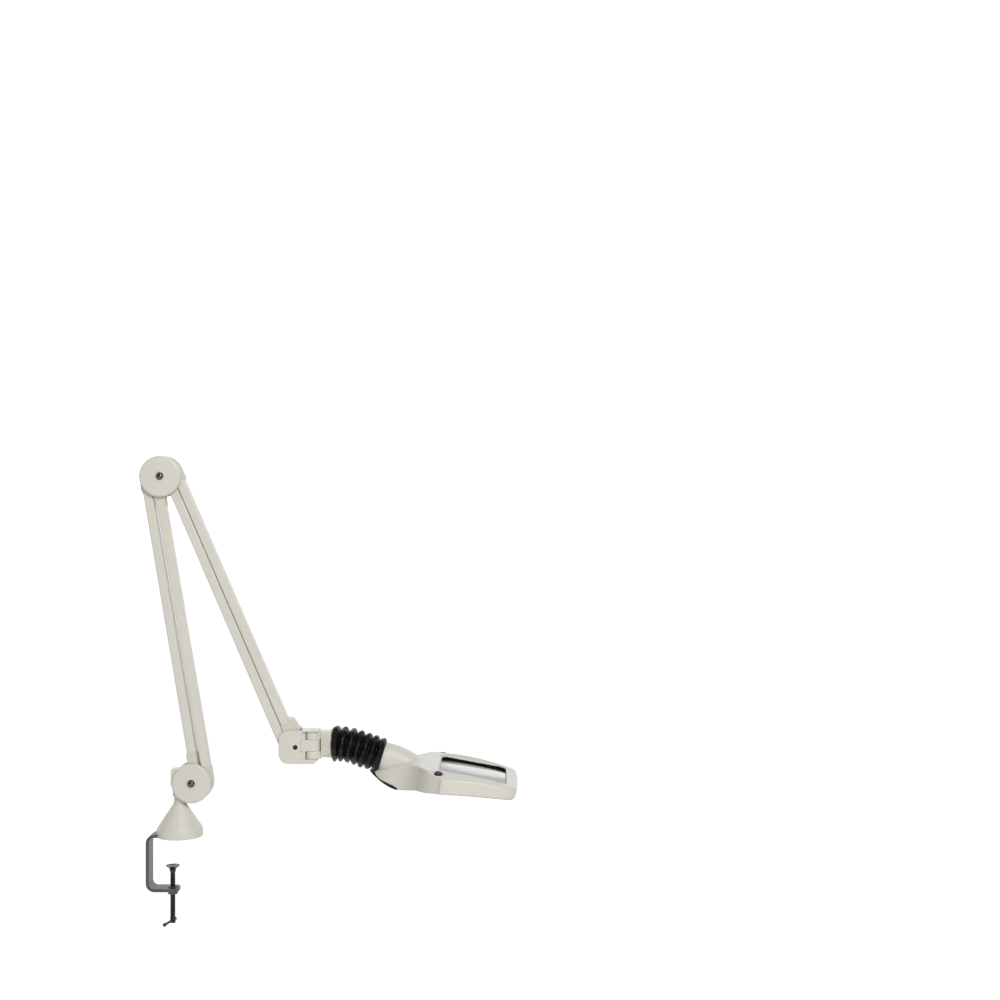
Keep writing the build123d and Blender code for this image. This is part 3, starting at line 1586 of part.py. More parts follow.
def button_cap(side):
    """One push button: a domed cap, a flange that keeps it in, a stem."""
    plane = button_plane(side)
    cap = round_button(plane.offset(flange_bottom), 0)
    flange = round_button(plane.offset(flange_bottom), button_flange)
    with BuildPart() as button:
        add(cap.sketch)
        extrude(amount=button_rise - flange_bottom, dir=plane.z_dir)
        chamfer(button.faces().sort_by(Axis(plane.origin, plane.z_dir))[-1].edges(), button_rise / 3)
        add(flange.sketch)
        extrude(amount=button_flange, dir=plane.z_dir)
        with BuildSketch(plane.offset(stem_bottom)):
            Circle(button_stem_radius)
        extrude(amount=button_stem_length)
    return button


button_left = button_cap(1)
button_left.part.label = "button_left"
export_step(button_left.part, "parts/button_left.step")

button_right = button_cap(-1)
button_right.part.label = "button_right"
export_step(button_right.part, "parts/button_right.step")

# Switches on the posts under the button stems
with BuildPart() as switches:
    for side in (1, -1):
        with BuildSketch(button_plane(side).offset(switch_bottom)):
            Rectangle(switch_size, switch_size)
        extrude(amount=switch_height - switch_tip_height)
        with BuildSketch(button_plane(side).offset(switch_top - switch_tip_height)):
            Circle(button_stem_radius)
        extrude(amount=switch_tip_height)
switches.part.label = "switches"
export_step(switches.part, "parts/switches.step")
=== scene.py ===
# %% [markdown]
# # A magnifier lamp, dressed for its portrait
# The lamp stands on a screw clamp and has two sprung arms, a black gaiter for a neck and a wide
# flat head with a rectangular lens. Its hard parts come ready made from the CAD frame, so this
# notebook rounds their edges, gives every part the finish of the real material, and makes the two
# things that CAD keeps plain: the crumpled gaiter and the thread of the clamp screw.

# %% Load the frame
import json
import math

import bpy
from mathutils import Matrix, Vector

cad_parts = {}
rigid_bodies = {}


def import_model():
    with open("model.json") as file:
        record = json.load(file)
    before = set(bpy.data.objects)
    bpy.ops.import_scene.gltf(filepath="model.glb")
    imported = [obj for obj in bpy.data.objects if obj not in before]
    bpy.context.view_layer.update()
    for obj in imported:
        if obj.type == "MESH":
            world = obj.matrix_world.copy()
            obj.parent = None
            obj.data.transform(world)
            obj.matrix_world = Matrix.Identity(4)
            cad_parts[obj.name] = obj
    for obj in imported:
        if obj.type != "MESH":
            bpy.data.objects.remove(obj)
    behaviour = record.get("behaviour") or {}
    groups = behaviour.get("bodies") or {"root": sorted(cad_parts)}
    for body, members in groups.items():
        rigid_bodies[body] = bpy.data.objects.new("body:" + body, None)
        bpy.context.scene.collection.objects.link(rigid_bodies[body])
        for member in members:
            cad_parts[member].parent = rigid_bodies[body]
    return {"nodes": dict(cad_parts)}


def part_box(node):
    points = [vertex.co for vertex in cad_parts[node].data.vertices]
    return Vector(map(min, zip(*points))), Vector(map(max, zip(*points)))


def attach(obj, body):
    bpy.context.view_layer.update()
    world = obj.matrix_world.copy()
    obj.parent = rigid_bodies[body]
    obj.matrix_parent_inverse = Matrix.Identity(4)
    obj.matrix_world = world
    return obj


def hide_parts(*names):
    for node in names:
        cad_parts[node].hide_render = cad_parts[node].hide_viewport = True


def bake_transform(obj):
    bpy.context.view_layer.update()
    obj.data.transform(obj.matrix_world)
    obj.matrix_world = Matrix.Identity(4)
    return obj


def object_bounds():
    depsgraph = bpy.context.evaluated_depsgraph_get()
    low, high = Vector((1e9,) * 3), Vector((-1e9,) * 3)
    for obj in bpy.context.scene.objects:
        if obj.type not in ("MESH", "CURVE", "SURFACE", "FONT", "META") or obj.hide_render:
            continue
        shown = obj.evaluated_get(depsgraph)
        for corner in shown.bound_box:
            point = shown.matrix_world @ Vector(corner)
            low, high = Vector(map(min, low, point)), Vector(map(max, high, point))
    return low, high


for left_over in list(bpy.data.objects):
    bpy.data.objects.remove(left_over)
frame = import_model()
cad_box = [list(corner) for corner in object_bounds()]
nodes = frame["nodes"]
MM = 0.001
print("CAD box in mm:", [[round(c / MM, 1) for c in corner] for corner in cad_box])

# %% [markdown]
# ## The camera
# The portrait is taken from the side with a level camera, so upright lines stay upright. It stands
# a little below the height of the top joint and a little over two metres away. A camera placed by
# numbers gives the same frame each time, which a camera aimed by a constraint would not.

# %% Place the camera
CAMERA_PLACE = (0.504, -2.331, 0.529)
CAMERA_LENS_MM = 53.28
CAMERA_SENSOR_MM = 36.0

camera_data = bpy.data.cameras.new("portrait_camera")
camera_data.lens = CAMERA_LENS_MM
camera_data.sensor_width = CAMERA_SENSOR_MM
camera = bpy.data.objects.new("portrait_camera", camera_data)
camera.location = CAMERA_PLACE
camera.rotation_euler = (math.radians(90), 0, 0)
bpy.context.scene.collection.objects.link(camera)
bpy.context.scene.camera = camera
bpy.context.scene.view_settings.view_transform = "Standard"
print("camera", camera.location[:], "lens", camera_data.lens)

# %% [markdown]
# ## Three small helpers
# Paint makers give colours as sRGB hex numbers, and Blender's shaders want linear light, so one
# function turns the first into the second. Another adds one node to a tree, sets it up and links
# it. It serves materials and geometry alike, which keeps the cells below short. The third tells
# what kind of ray is looking, so that a backdrop can be white to the camera and still be paper.


# %% Helpers for colours and nodes
def linear(hex_colour):
    """An sRGB hex colour as the linear RGBA that a shader socket takes."""
    channels = [int(hex_colour[i:i + 2], 16) / 255 for i in (0, 2, 4)]
    light = [c / 12.92 if c <= 0.04045 else ((c + 0.055) / 1.055) ** 2.4 for c in channels]
    return (*light, 1)


def add_node(tree, kind, inputs=None, **settings):
    """Adds a node; inputs maps a socket's name or number to a value or to another node's output."""
    node = tree.nodes.new(kind)
    for name, value in settings.items():
        setattr(node, name, value)
    for socket, value in (inputs or {}).items():
        if isinstance(value, bpy.types.NodeSocket):
            tree.links.new(value, node.inputs[socket])
        else:
            node.inputs[socket].default_value = value
    return node


def ray_is(tree, *kinds):
    """A socket that is 1 for rays of any of these kinds and 0 for the rest."""
    path = add_node(tree, "ShaderNodeLightPath")
    any_kind = path.outputs[f"Is {kinds[0]} Ray"]
    for kind in kinds[1:]:
        any_kind = add_node(tree, "ShaderNodeMath", {
            0: any_kind, 1: path.outputs[f"Is {kind} Ray"],
        }, operation="MAXIMUM").outputs[0]
    return any_kind


print("mid grey in linear light:", round(linear("808080")[0], 3))

# %% [markdown]
# ## The studio
# A lamp like this is photographed in a white tent. One sheet runs under it and curves up behind it,
# so there is no line where floor meets wall. The sheet is matt and pale. For rays from the camera,
# mirror rays and rays through glass it glows as well, and the wall glows more than the floor,
# because less of the lamps' light reaches it. That lifts both to a plain white.

# %% Build the floor and backdrop
FLOOR_BELOW = 0.125
SHEET_HALF_WIDTH = 9.0
SHEET_FRONT = -7.0
SHEET_BACK = 3.2
SHEET_BEND = 1.4
BEND_STEPS = 24
SHEET_TOP = 6.0
FLOOR_GLOW = 0.66
WALL_GLOW = 1.0

floor_height = cad_box[0][2] - FLOOR_BELOW
profile = [(SHEET_FRONT, floor_height)]
for step in range(BEND_STEPS + 1):
    turn = math.radians(90) * step / BEND_STEPS
    profile.append((
        SHEET_BACK + SHEET_BEND * math.sin(turn),
        floor_height + SHEET_BEND * (1 - math.cos(turn)),
    ))
profile.append((SHEET_BACK + SHEET_BEND, SHEET_TOP))
corners = [(side * SHEET_HALF_WIDTH, y, z) for y, z in profile for side in (-1, 1)]
strips = [(2 * i, 2 * i + 1, 2 * i + 3, 2 * i + 2) for i in range(len(profile) - 1)]
sheet_mesh = bpy.data.meshes.new("studio_sheet")
sheet_mesh.from_pydata(corners, [], strips)
sheet_mesh.shade_smooth()
sheet = bpy.data.objects.new("studio_sheet", sheet_mesh)
bpy.context.scene.collection.objects.link(sheet)

sheet_paper = bpy.data.materials.new("matt white background paper")
sheet_paper.use_nodes = True
tree = sheet_paper.node_tree
tree.nodes.clear()
place = add_node(tree, "ShaderNodeTexCoord")
height = add_node(tree, "ShaderNodeSeparateXYZ", {0: place.outputs["Object"]})
glow_here = add_node(tree, "ShaderNodeMapRange", {
    "Value": height.outputs["Z"],
    "From Min": floor_height, "From Max": floor_height + SHEET_BEND / 2,
    "To Min": FLOOR_GLOW, "To Max": WALL_GLOW,
})
glow_strength = add_node(tree, "ShaderNodeMath", {
    0: ray_is(tree, "Camera", "Glossy", "Transmission"), 1: glow_here.outputs[0],
}, operation="MULTIPLY")
matt = add_node(tree, "ShaderNodeBsdfDiffuse", {"Color": linear("EDEDED")})
glow = add_node(tree, "ShaderNodeEmission", {"Strength": glow_strength.outputs[0]})
both = add_node(tree, "ShaderNodeAddShader", {0: matt.outputs[0], 1: glow.outputs[0]})
add_node(tree, "ShaderNodeOutputMaterial", {"Surface": both.outputs[0]})
sheet_mesh.materials.append(sheet_paper)
print("floor at", round(floor_height / MM), "mm")

# %% [markdown]
# ## The light
# A big soft box stands at the upper right in front, a weak one on the left and one above, and the
# tent itself fills the shadows. Big lamps give the long soft highlights that a satin moulding
# shows. Their levels add up so that a colour comes out about as it is written.

# %% Set up the lamps
SOFT_BOXES = (
    # name, place, size in metres, watts
    ("key_soft_box", (1.6, -3.1, 2.4), 1.4, 98.0),
    ("fill_soft_box", (-2.2, -2.4, 1.0), 2.0, 7.0),
    ("top_soft_box", (-0.3, 0.5, 2.9), 1.4, 7.0),
)
AIM = (0.3, 0.0, 0.3)
TENT_STRENGTH = 0.38
TENT_SEEN = 1.0


def aim(place, target):
    """The rotation that points a lamp from its place to the target."""
    direction = [t - p for t, p in zip(target, place)]
    across = math.hypot(direction[0], direction[1])
    heading = math.atan2(direction[1], direction[0])
    return (math.atan2(across, -direction[2]), 0, heading - math.radians(90))


for name, place, size, watts in SOFT_BOXES:
    lamp_data = bpy.data.lights.new(name, "AREA")
    lamp_data.size = size
    lamp_data.energy = watts
    lamp = bpy.data.objects.new(name, lamp_data)
    lamp.location = place
    lamp.rotation_euler = aim(place, AIM)
    bpy.context.scene.collection.objects.link(lamp)

tent = bpy.data.worlds.new("white tent")
tent.use_nodes = True
tree = tent.node_tree
tree.nodes.clear()
strength = add_node(tree, "ShaderNodeMapRange", {
    "Value": ray_is(tree, "Camera", "Transmission"), "To Min": TENT_STRENGTH, "To Max": TENT_SEEN,
})
sky = add_node(tree, "ShaderNodeBackground", {"Strength": strength.outputs[0]})
add_node(tree, "ShaderNodeOutputWorld", {"Surface": sky.outputs[0]})
bpy.context.scene.world = tent
print(len(SOFT_BOXES), "soft boxes and a tent at", TENT_STRENGTH)

# %% [markdown]
# ## How a finish is made
# Every hard finish on the lamp has the same three layers: a colour that wanders a little, a gloss
# that wanders too, and a fine relief from how the surface was made. One recipe with the sizes in
# millimetres makes them all, and a line above each finish says how it looks. Noise on Object
# coordinates keeps the pattern fixed to the part, with no seams and no unwrapping.


# %% The recipe for a finish
CLOUD_DETAIL = 3.0
RELIEF_DETAIL = 4.0
RELIEF_SHARPNESS = 0.6
# A mix node has its colours in these sockets; others of the same name are for plain numbers
MIX_A = 6
MIX_B = 7
MIX_RESULT = 2


def finish(name, colour, shade, roughness, relief_mm, depth_mm, cloud_mm=45.0, wander=0.06,
           metallic=0.0, stretch=(1, 1, 1), **fixed):
    """A named material: two close colours in soft clouds, gloss that wanders, and a fine relief.

    fixed holds values for the shader's own sockets, with _ for a space in the socket's name.
    """
    material = bpy.data.materials.new(name)
    material.use_nodes = True
    tree = material.node_tree
    tree.nodes.clear()
    place = add_node(tree, "ShaderNodeTexCoord")
    drawn = add_node(tree, "ShaderNodeMapping", {
        "Vector": place.outputs["Object"], "Scale": stretch,
    })
    clouds = add_node(tree, "ShaderNodeTexNoise", {
        "Vector": drawn.outputs[0], "Scale": 1 / (cloud_mm * MM), "Detail": CLOUD_DETAIL,
    })
    tint = add_node(tree, "ShaderNodeMix", {
        "Factor": clouds.outputs["Fac"], MIX_A: linear(colour), MIX_B: linear(shade),
    }, data_type="RGBA")
    relief = add_node(tree, "ShaderNodeTexNoise", {
        "Vector": drawn.outputs[0], "Scale": 1 / (relief_mm * MM), "Detail": RELIEF_DETAIL,
        "Roughness": RELIEF_SHARPNESS,
    })
    gloss = add_node(tree, "ShaderNodeMapRange", {
        "Value": relief.outputs["Fac"],
        "To Min": max(roughness - wander, 0.0), "To Max": roughness + wander,
    })
    bump = add_node(tree, "ShaderNodeBump", {
        "Height": relief.outputs["Fac"], "Strength": 1.0, "Distance": depth_mm * MM,
    })
    shader = add_node(tree, "ShaderNodeBsdfPrincipled", {
        "Base Color": tint.outputs[MIX_RESULT], "Metallic": metallic,
        "Roughness": gloss.outputs[0], "Normal": bump.outputs[0],
    })
    for socket, value in fixed.items():
        shader.inputs[socket.replace("_", " ")].default_value = value
    add_node(tree, "ShaderNodeOutputMaterial", {"Surface": shader.outputs[0]})
    return material


print("a finish takes its sizes in millimetres and its colours in hex")

# %% [markdown]
# ## Plastics
# The head, the cover plates, the discs and the cone over the swivel are injection moulded ABS in a
# warm white. The tool was etched, so the surface is satin with a very fine grain. The underside of
# the head and the buttons are the same plastic in black with a coarser grain, and the ring that
# holds the lens is slate grey. Grain of 0.1 mm can't be seen from two metres, so it is drawn at
# 0.5 mm. The bushes and eyes in the arms are natural nylon, and the strips over the lamps are
# frosted acrylic, both of which let a little light into the surface.

# %% Mix the plastics
# Satin white: broad, soft highlights and hardly any grain
white_abs = finish(
    "moulded ABS, warm white satin", "D9D6CC", "D1CEC3", 0.36, 0.5, 0.004,
    Specular_IOR_Level=0.5, IOR=1.53,
)
# Grained black and slate grey: the light breaks up on the grain, so they look dry
black_abs = finish(
    "moulded ABS, black grained", "0A0A0B", "0F0F10", 0.44, 0.8, 0.02, wander=0.08, IOR=1.53,
    Specular_IOR_Level=0.3,
)
grey_abs = finish(
    "moulded ABS, slate grey grained", "38393A", "303132", 0.44, 0.8, 0.02, wander=0.08, IOR=1.53,
)
# Nylon: waxy and slightly yellow
nylon = finish(
    "moulded nylon, natural", "DAD5C6", "CFC9B8", 0.45, 1.2, 0.004, IOR=1.53,
    Subsurface_Weight=0.1, Subsurface_Scale=0.002,
)
# Frosted acrylic: milky, with no sharp highlight
opal = finish(
    "opal acrylic, frosted", "F0EFEA", "E6E5DF", 0.5, 0.6, 0.006, IOR=1.49,
    Subsurface_Weight=0.25, Subsurface_Scale=0.004,
)
# Solder mask: a white lacquer, faintly uneven over the glass cloth
circuit_board = finish(
    "white solder mask on glass epoxy", "E4E6E0", "D8DBD3", 0.4, 0.9, 0.008, IOR=1.5,
)
print("plastics:", [m.name for m in (white_abs, black_abs, grey_abs, nylon, opal, circuit_board)])

# %% [markdown]
# ## Painted and bare metal
# The arm tubes and the bracket are steel with stoved enamel, which flows a little as it bakes and
# leaves a faint orange peel about 2 mm across. The clamp is a bent bar, zinc plated and dulled,
# with the streaks of the rolled bar along it. The clamp screw is black oxide. The domed joint
# screws are nickel, polished until they mirror the soft boxes, and their colour is painted dark:
# painted shade that stands in for the dark recesses they sit in.

# %% Mix the metals
# Stoved enamel: smoother than the plastic, with a thin clear gloss on top
enamel = finish(
    "stoved enamel on steel, warm white", "D9D6CC", "D2CFC4", 0.3, 2.0, 0.012, wander=0.04, IOR=1.5,
    Coat_Weight=0.15, Coat_Roughness=0.2,
)
# Dull zinc: a clouded grey metal, darker in its streaks
dull_zinc = finish(
    "dull zinc plate on steel bar", "66696A", "3E4142", 0.42, 0.9, 0.02, cloud_mm=14.0, wander=0.1,
    metallic=0.85, stretch=(1, 0.5, 0.25),
)
# Black oxide: nearly black, with an oily shine that varies
black_oxide = finish(
    "black oxide steel", "3A3B3C", "262728", 0.34, 0.7, 0.01, cloud_mm=8.0, wander=0.1,
    metallic=0.9,
)
# Nickel: a mirror whose colour is painted dark, as painted shade for the recess round each screw
nickel = finish(
    "polished nickel plate painted dark for recess shade", "5E5C59", "4B4947", 0.12, 1.5, 0.003, wander=0.05, metallic=1.0,
)
# Bright zinc and drawn wire: plain silvery metal
zinc_pin = finish(
    "bright zinc plate", "B9BABA", "A4A6A7", 0.28, 0.8, 0.006, cloud_mm=6.0, metallic=1.0,
)
spring_wire = finish(
    "drawn spring steel wire", "8E8F90", "77797A", 0.32, 0.4, 0.01, metallic=1.0,
)
print("metals:", [m.name for m in (enamel, dull_zinc, black_oxide, nickel, zinc_pin, spring_wire)])

# %% [markdown]
# ## Rubber and glass
# The gaiter is black neoprene, matt but for a faint shine on its ridges, which a little gloss on
# the relief gives. The lens is crown glass with a smooth face and the index of optical glass, so
# that it bends what is seen through it as the real one does. It is coated against glare, so its
# mirror is turned down, and its soft grey tint is a painted reflection of the grey the glass
# shows when seen from the side.

# %% Mix the rubber and the glass
# Neoprene: black, with the faint shine of worn rubber
neoprene = finish(
    "moulded neoprene, black", "030303", "070708", 0.36, 1.4, 0.05, cloud_mm=10.0, wander=0.1,
    Specular_IOR_Level=0.18,
)
# Glass: no relief at all, because a polished face has none
# The grey colour is a painted reflection, put into the glass as a tint
lens_glass = finish(
    "polished crown glass", "979A96", "8F928E", 0.0, 30.0, 0.0, wander=0.0,
    IOR=1.52, Transmission_Weight=1.0, Specular_IOR_Level=0.05,
)
print("soft and clear:", neoprene.name, "and", lens_glass.name)

# %% [markdown]
# ## Edges that catch the light
# No real edge is sharp: a moulding has a radius of half a millimetre and bent steel more, and that
# thin bright line is what tells the eye that a part is real. A CAD mesh is loose triangles with
# stored normals, so a small node tree first joins its corners, drops the stored normals and marks
# smooth edges by angle. A Bevel modifier then rounds what is left sharp. The head's shell has
# larger, flowing radii, so it is rebuilt in fine voxels and relaxed instead. The modifiers stay
# live on the CAD object, whose own mesh isn't touched.

# %% A tree that joins and smooths
SMOOTH_BELOW = math.radians(26)
SAME_POINT = 0.001 * MM

joiner = bpy.data.node_groups.new("join and smooth", "GeometryNodeTree")
joiner.interface.new_socket("Geometry", in_out="INPUT", socket_type="NodeSocketGeometry")
joiner.interface.new_socket("Geometry", in_out="OUTPUT", socket_type="NodeSocketGeometry")
came_in = add_node(joiner, "NodeGroupInput")
bare = add_node(joiner, "GeometryNodeRemoveAttribute", {
    "Geometry": came_in.outputs[0], "Name": "custom_normal",
})
joined = add_node(joiner, "GeometryNodeMergeByDistance", {
    "Geometry": bare.outputs[0], "Distance": SAME_POINT,
})
edge_angle = add_node(joiner, "GeometryNodeInputMeshEdgeAngle")
gentle = add_node(joiner, "FunctionNodeCompare", {
    0: edge_angle.outputs["Unsigned Angle"], 1: SMOOTH_BELOW,
}, data_type="FLOAT", operation="LESS_THAN")
faces_smooth = add_node(joiner, "GeometryNodeSetShadeSmooth", {
    "Geometry": joined.outputs[0], "Shade Smooth": True,
}, domain="FACE")
edges_smooth = add_node(joiner, "GeometryNodeSetShadeSmooth", {
    "Geometry": faces_smooth.outputs[0], "Shade Smooth": gentle.outputs[0],
}, domain="EDGE")
add_node(joiner, "NodeGroupOutput", {0: edges_smooth.outputs[0]})
print("smooth below", round(math.degrees(SMOOTH_BELOW)), "degrees")

# %% [markdown]
# ## Two ways to round a part
# Small radii are bevelled on, at every edge sharper than a set angle. A moulded shell is harder,
# for its faces run into each other at all angles and a bevel would trip over itself. Fine voxels
# keep its form, and relaxing them rounds every edge by about the same amount.

# %% A bevel and a moulded skin
BEVEL_ABOVE = math.radians(32)
BEVEL_STEPS = 2
RELAX_FACTOR = 0.5


def soften(node_name, radius_mm):
    """Joins and smooths a CAD node, and rounds its sharp edges to a radius."""
    part = nodes[node_name]
    part.modifiers.new("join and smooth", "NODES").node_group = joiner
    if radius_mm:
        bevel = part.modifiers.new("edge radius", "BEVEL")
        bevel.width = radius_mm * MM
        bevel.segments = BEVEL_STEPS
        bevel.limit_method = "ANGLE"
        bevel.angle_limit = BEVEL_ABOVE
        bevel.harden_normals = True
        bevel.use_clamp_overlap = True


def mould_soft(node_name, voxel_mm, rounds):
    """Rebuilds a moulded shell in fine voxels and relaxes it, so that its edges run round."""
    part = nodes[node_name]
    part.modifiers.new("join and smooth", "NODES").node_group = joiner
    voxels = part.modifiers.new("moulded skin", "REMESH")
    voxels.mode = "VOXEL"
    voxels.voxel_size = voxel_mm * MM
    voxels.use_smooth_shade = True
    relax = part.modifiers.new("relaxed skin", "SMOOTH")
    relax.factor = RELAX_FACTOR
    relax.iterations = rounds


print("bevel above", round(math.degrees(BEVEL_ABOVE)), "degrees in", BEVEL_STEPS, "steps")

# %% [markdown]
# ## Dress the CAD parts
# Each part gets its finish and its edge radius from one table, by what it is made of. Parts deep
# inside, such as the nuts and boards, are dressed too, because they show when the lamp is opened.

# %% Give every part its finish
HEAD_VOXEL_MM = 1.2
HEAD_RELAX_ROUNDS = 22
DRESS = (
    # finish, edge radius in mm, parts
    (white_abs, 0.5, ("base_disc_front", "base_disc_rear", "knuckle_disc_front",
                      "knuckle_disc_rear", "cone_cover")),
    (white_abs, 0.0, ("bracket_cover_front", "bracket_cover_rear")),
    (enamel, 0.4, ("lower_outer_tube", "lower_inner_tube", "upper_outer_tube", "upper_inner_tube")),
    (enamel, 0.3, ("base_hub", "knuckle_hub", "bracket_frame", "yaw_collar", "stem_collar",
                   "swivel_stem")),
    (dull_zinc, 0.5, ("clamp_frame", "threaded_boss", "swivel_socket")),
    (black_oxide, 0.25, ("clamp_pad", "clamp_spindle", "tommy_bar", "socket_screws",
                         "bracket_screw")),
    # The joint screws' dark colour is painted shade for the recesses they sit in
    (nickel, 0.2, ("base_screw", "knuckle_screw", "housing_screws")),
    (zinc_pin, 0.15, ("base_pins", "base_nut", "knuckle_pins", "knuckle_nut", "bracket_pins",
                      "hinge_pin", "tilt_pin")),
    (spring_wire, 0.0, ("lower_spring", "upper_spring")),
    (nylon, 0.2, ("lower_outer_fittings", "lower_inner_fittings", "upper_outer_fittings",
                  "upper_inner_fittings", "lower_outer_bushes", "lower_inner_bushes",
                  "upper_outer_bushes", "upper_inner_bushes", "swivel_bush")),
    (black_abs, 0.3, ("head_underside", "button_left", "button_right", "switches", "tilt_arm")),
    (grey_abs, 0.3, ("lens_frame",)),
    (neoprene, 0.2, ("lens_gasket", "bellows")),
    (lens_glass, 0.0, ("lens",)),
    (opal, 0.2, ("diffusers",)),
    (circuit_board, 0.0, ("light_boards", "driver_board")),
)


def coat(part_name, material):
    """Gives a part one finish in place of the one it came with."""
    nodes[part_name].data.materials.clear()
    nodes[part_name].data.materials.append(material)


for material, radius_mm, part_names in DRESS:
    for part_name in part_names:
        coat(part_name, material)
        soften(part_name, radius_mm)
coat("head_housing", white_abs)
mould_soft("head_housing", HEAD_VOXEL_MM, HEAD_RELAX_ROUNDS)
dressed = {name for _, _, names in DRESS for name in names} | {"head_housing"}
print(len(dressed), "of", len(nodes), "parts dressed; left:", sorted(set(nodes) - dressed))

# %% [markdown]
# ## A modifier baked to a mesh
# Shapes that follow a rule, such as a thread or a row of folds, are Geometry Nodes trees with named
# inputs, so one number changes the whole thing. When the tree has run, its result is kept as a
# plain mesh and the modifier goes, because a finished piece has to travel without its tree.


# %% Helpers for trees with named inputs
def new_tree(name, inputs):
    """A geometry tree with named inputs: the tree, its input node and the sockets' identifiers."""
    tree = bpy.data.node_groups.new(name, "GeometryNodeTree")
    tree.interface.new_socket("Geometry", in_out="OUTPUT", socket_type="NodeSocketGeometry")
    identifiers = {}
    for socket_name, kind in inputs.items():
        socket_type = "NodeSocket" + kind
        socket = tree.interface.new_socket(socket_name, in_out="INPUT", socket_type=socket_type)
        identifiers[socket_name] = socket.identifier
    return tree, add_node(tree, "NodeGroupInput"), identifiers


def bake(name, tree, identifiers, values):
    """Runs a tree with these values and keeps the result as a plain mesh object at the origin."""
    piece = bpy.data.objects.new(name, bpy.data.meshes.new(name))
    bpy.context.scene.collection.objects.link(piece)
    modifier = piece.modifiers.new(name, "NODES")
    modifier.node_group = tree
    for socket_name, value in values.items():
        modifier[identifiers[socket_name]] = value
    depsgraph = bpy.context.evaluated_depsgraph_get()
    mesh = bpy.data.meshes.new_from_object(piece.evaluated_get(depsgraph), depsgraph=depsgraph)
    piece.modifiers.clear()
    piece.data = mesh
    mesh.name = name
    print(name, len(mesh.polygons), "faces")
    return piece


print("trees so far:", [group.name for group in bpy.data.node_groups])

# %% [markdown]
# ## The gaiter
# The neck is a moulded neoprene gaiter with seven lobes. It covers the tilt hinge, where the head
# bends on the neck, and never quite lies smooth: each lobe is a little dented and creased. A ring
# swept along a curve whose radius swings from valley to lobe gives the folds, and the half turns
# of a sine give one lobe each. The curve leaves the collar level and meets the head's cone square
# on.

# %% Sweep the gaiter's folds
gaiter_low, gaiter_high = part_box("bellows")
GAITER_LOBES = 7
GAITER_VALLEY = 21.8 * MM
GAITER_PEAK = 28.0 * MM
COLLAR_END = (0.2395, 0.0, 0.1459)
NECK_END = (0.3195, 0.0, 0.1266)
HANDLE = 0.026
NECK_LEAN = math.radians(-17)
RING_POINTS = 128
RINGS_PER_LOBE = 16
SPINE_STEPS = 96
LOBE_PLUMPNESS = 0.7

tree, given, gaiter_inputs = new_tree("gaiter", {
    "Collar End": "Vector", "Collar Handle": "Vector",
    "Neck Handle": "Vector", "Neck End": "Vector",
    "Lobes": "Float", "Valley Radius": "Float", "Peak Radius": "Float", "Rings": "Int",
    "Dent Depth": "Float", "Crease Depth": "Float", "Seed": "Float", "Material": "Material",
})
spine = add_node(tree, "GeometryNodeCurvePrimitiveBezierSegment", {
    "Start": given.outputs["Collar End"], "Start Handle": given.outputs["Collar Handle"],
    "End Handle": given.outputs["Neck Handle"], "End": given.outputs["Neck End"],
    "Resolution": SPINE_STEPS,
})
even = add_node(tree, "GeometryNodeResampleCurve", {
    "Curve": spine.outputs[0], "Count": given.outputs["Rings"],
})
along = add_node(tree, "GeometryNodeSplineParameter")
turns = add_node(tree, "ShaderNodeMath", {
    0: along.outputs["Factor"], 1: given.outputs["Lobes"],
}, operation="MULTIPLY")
half_turns = add_node(tree, "ShaderNodeMath", {
    0: turns.outputs[0], 1: math.pi,
}, operation="MULTIPLY")
wave = add_node(tree, "ShaderNodeMath", {0: half_turns.outputs[0]}, operation="SINE")
folds = add_node(tree, "ShaderNodeMath", {0: wave.outputs[0]}, operation="ABSOLUTE")
plump = add_node(tree, "ShaderNodeMath", {
    0: folds.outputs[0], 1: LOBE_PLUMPNESS,
}, operation="POWER")
ring_radius = add_node(tree, "ShaderNodeMapRange", {
    "Value": plump.outputs[0],
    "To Min": given.outputs["Valley Radius"], "To Max": given.outputs["Peak Radius"],
})
kept_fold = add_node(tree, "GeometryNodeStoreNamedAttribute", {
    "Geometry": even.outputs[0], "Name": "fold", "Value": plump.outputs[0],
}, data_type="FLOAT", domain="POINT")
wide = add_node(tree, "GeometryNodeSetCurveRadius", {
    "Curve": kept_fold.outputs[0], "Radius": ring_radius.outputs[0],
})
ring = add_node(tree, "GeometryNodeCurvePrimitiveCircle", {
    "Resolution": RING_POINTS, "Radius": 1.0,
})
own_radius = add_node(tree, "GeometryNodeInputRadius")
skin = add_node(tree, "GeometryNodeCurveToMesh", {
    "Curve": wide.outputs[0], "Profile Curve": ring.outputs[0], "Scale": own_radius.outputs[0],
    "Fill Caps": True,
})
print("a spine with", GAITER_LOBES * RINGS_PER_LOBE + 1, "rings of", RING_POINTS, "points")

# %% [markdown]
# ## Dents and creases
# Rubber that has been bent for years has wide dents and small creases. Both are noise that pushes
# the skin along its normal, one pattern a few lobes wide and one finer than a lobe. They are
# strongest on the lobes and fade to nothing in the valleys, where the skin is held. One seed feeds
# both, so another number makes another gaiter and the same number makes the same one.

# %% Crumple the gaiter
DENT_WIDTH = 22 * MM
DENT_DEPTH = 1.6 * MM
DENT_OUT = 0.6
CREASE_WIDTH = 7 * MM
CREASE_DEPTH = 0.9 * MM
CREASE_OUT = 0.5
NOISE_LOW = 0.3
NOISE_HIGH = 0.7
DENT_DETAIL = 2.0
CREASE_DETAIL = 1.0
GAITER_SEED = 4.0


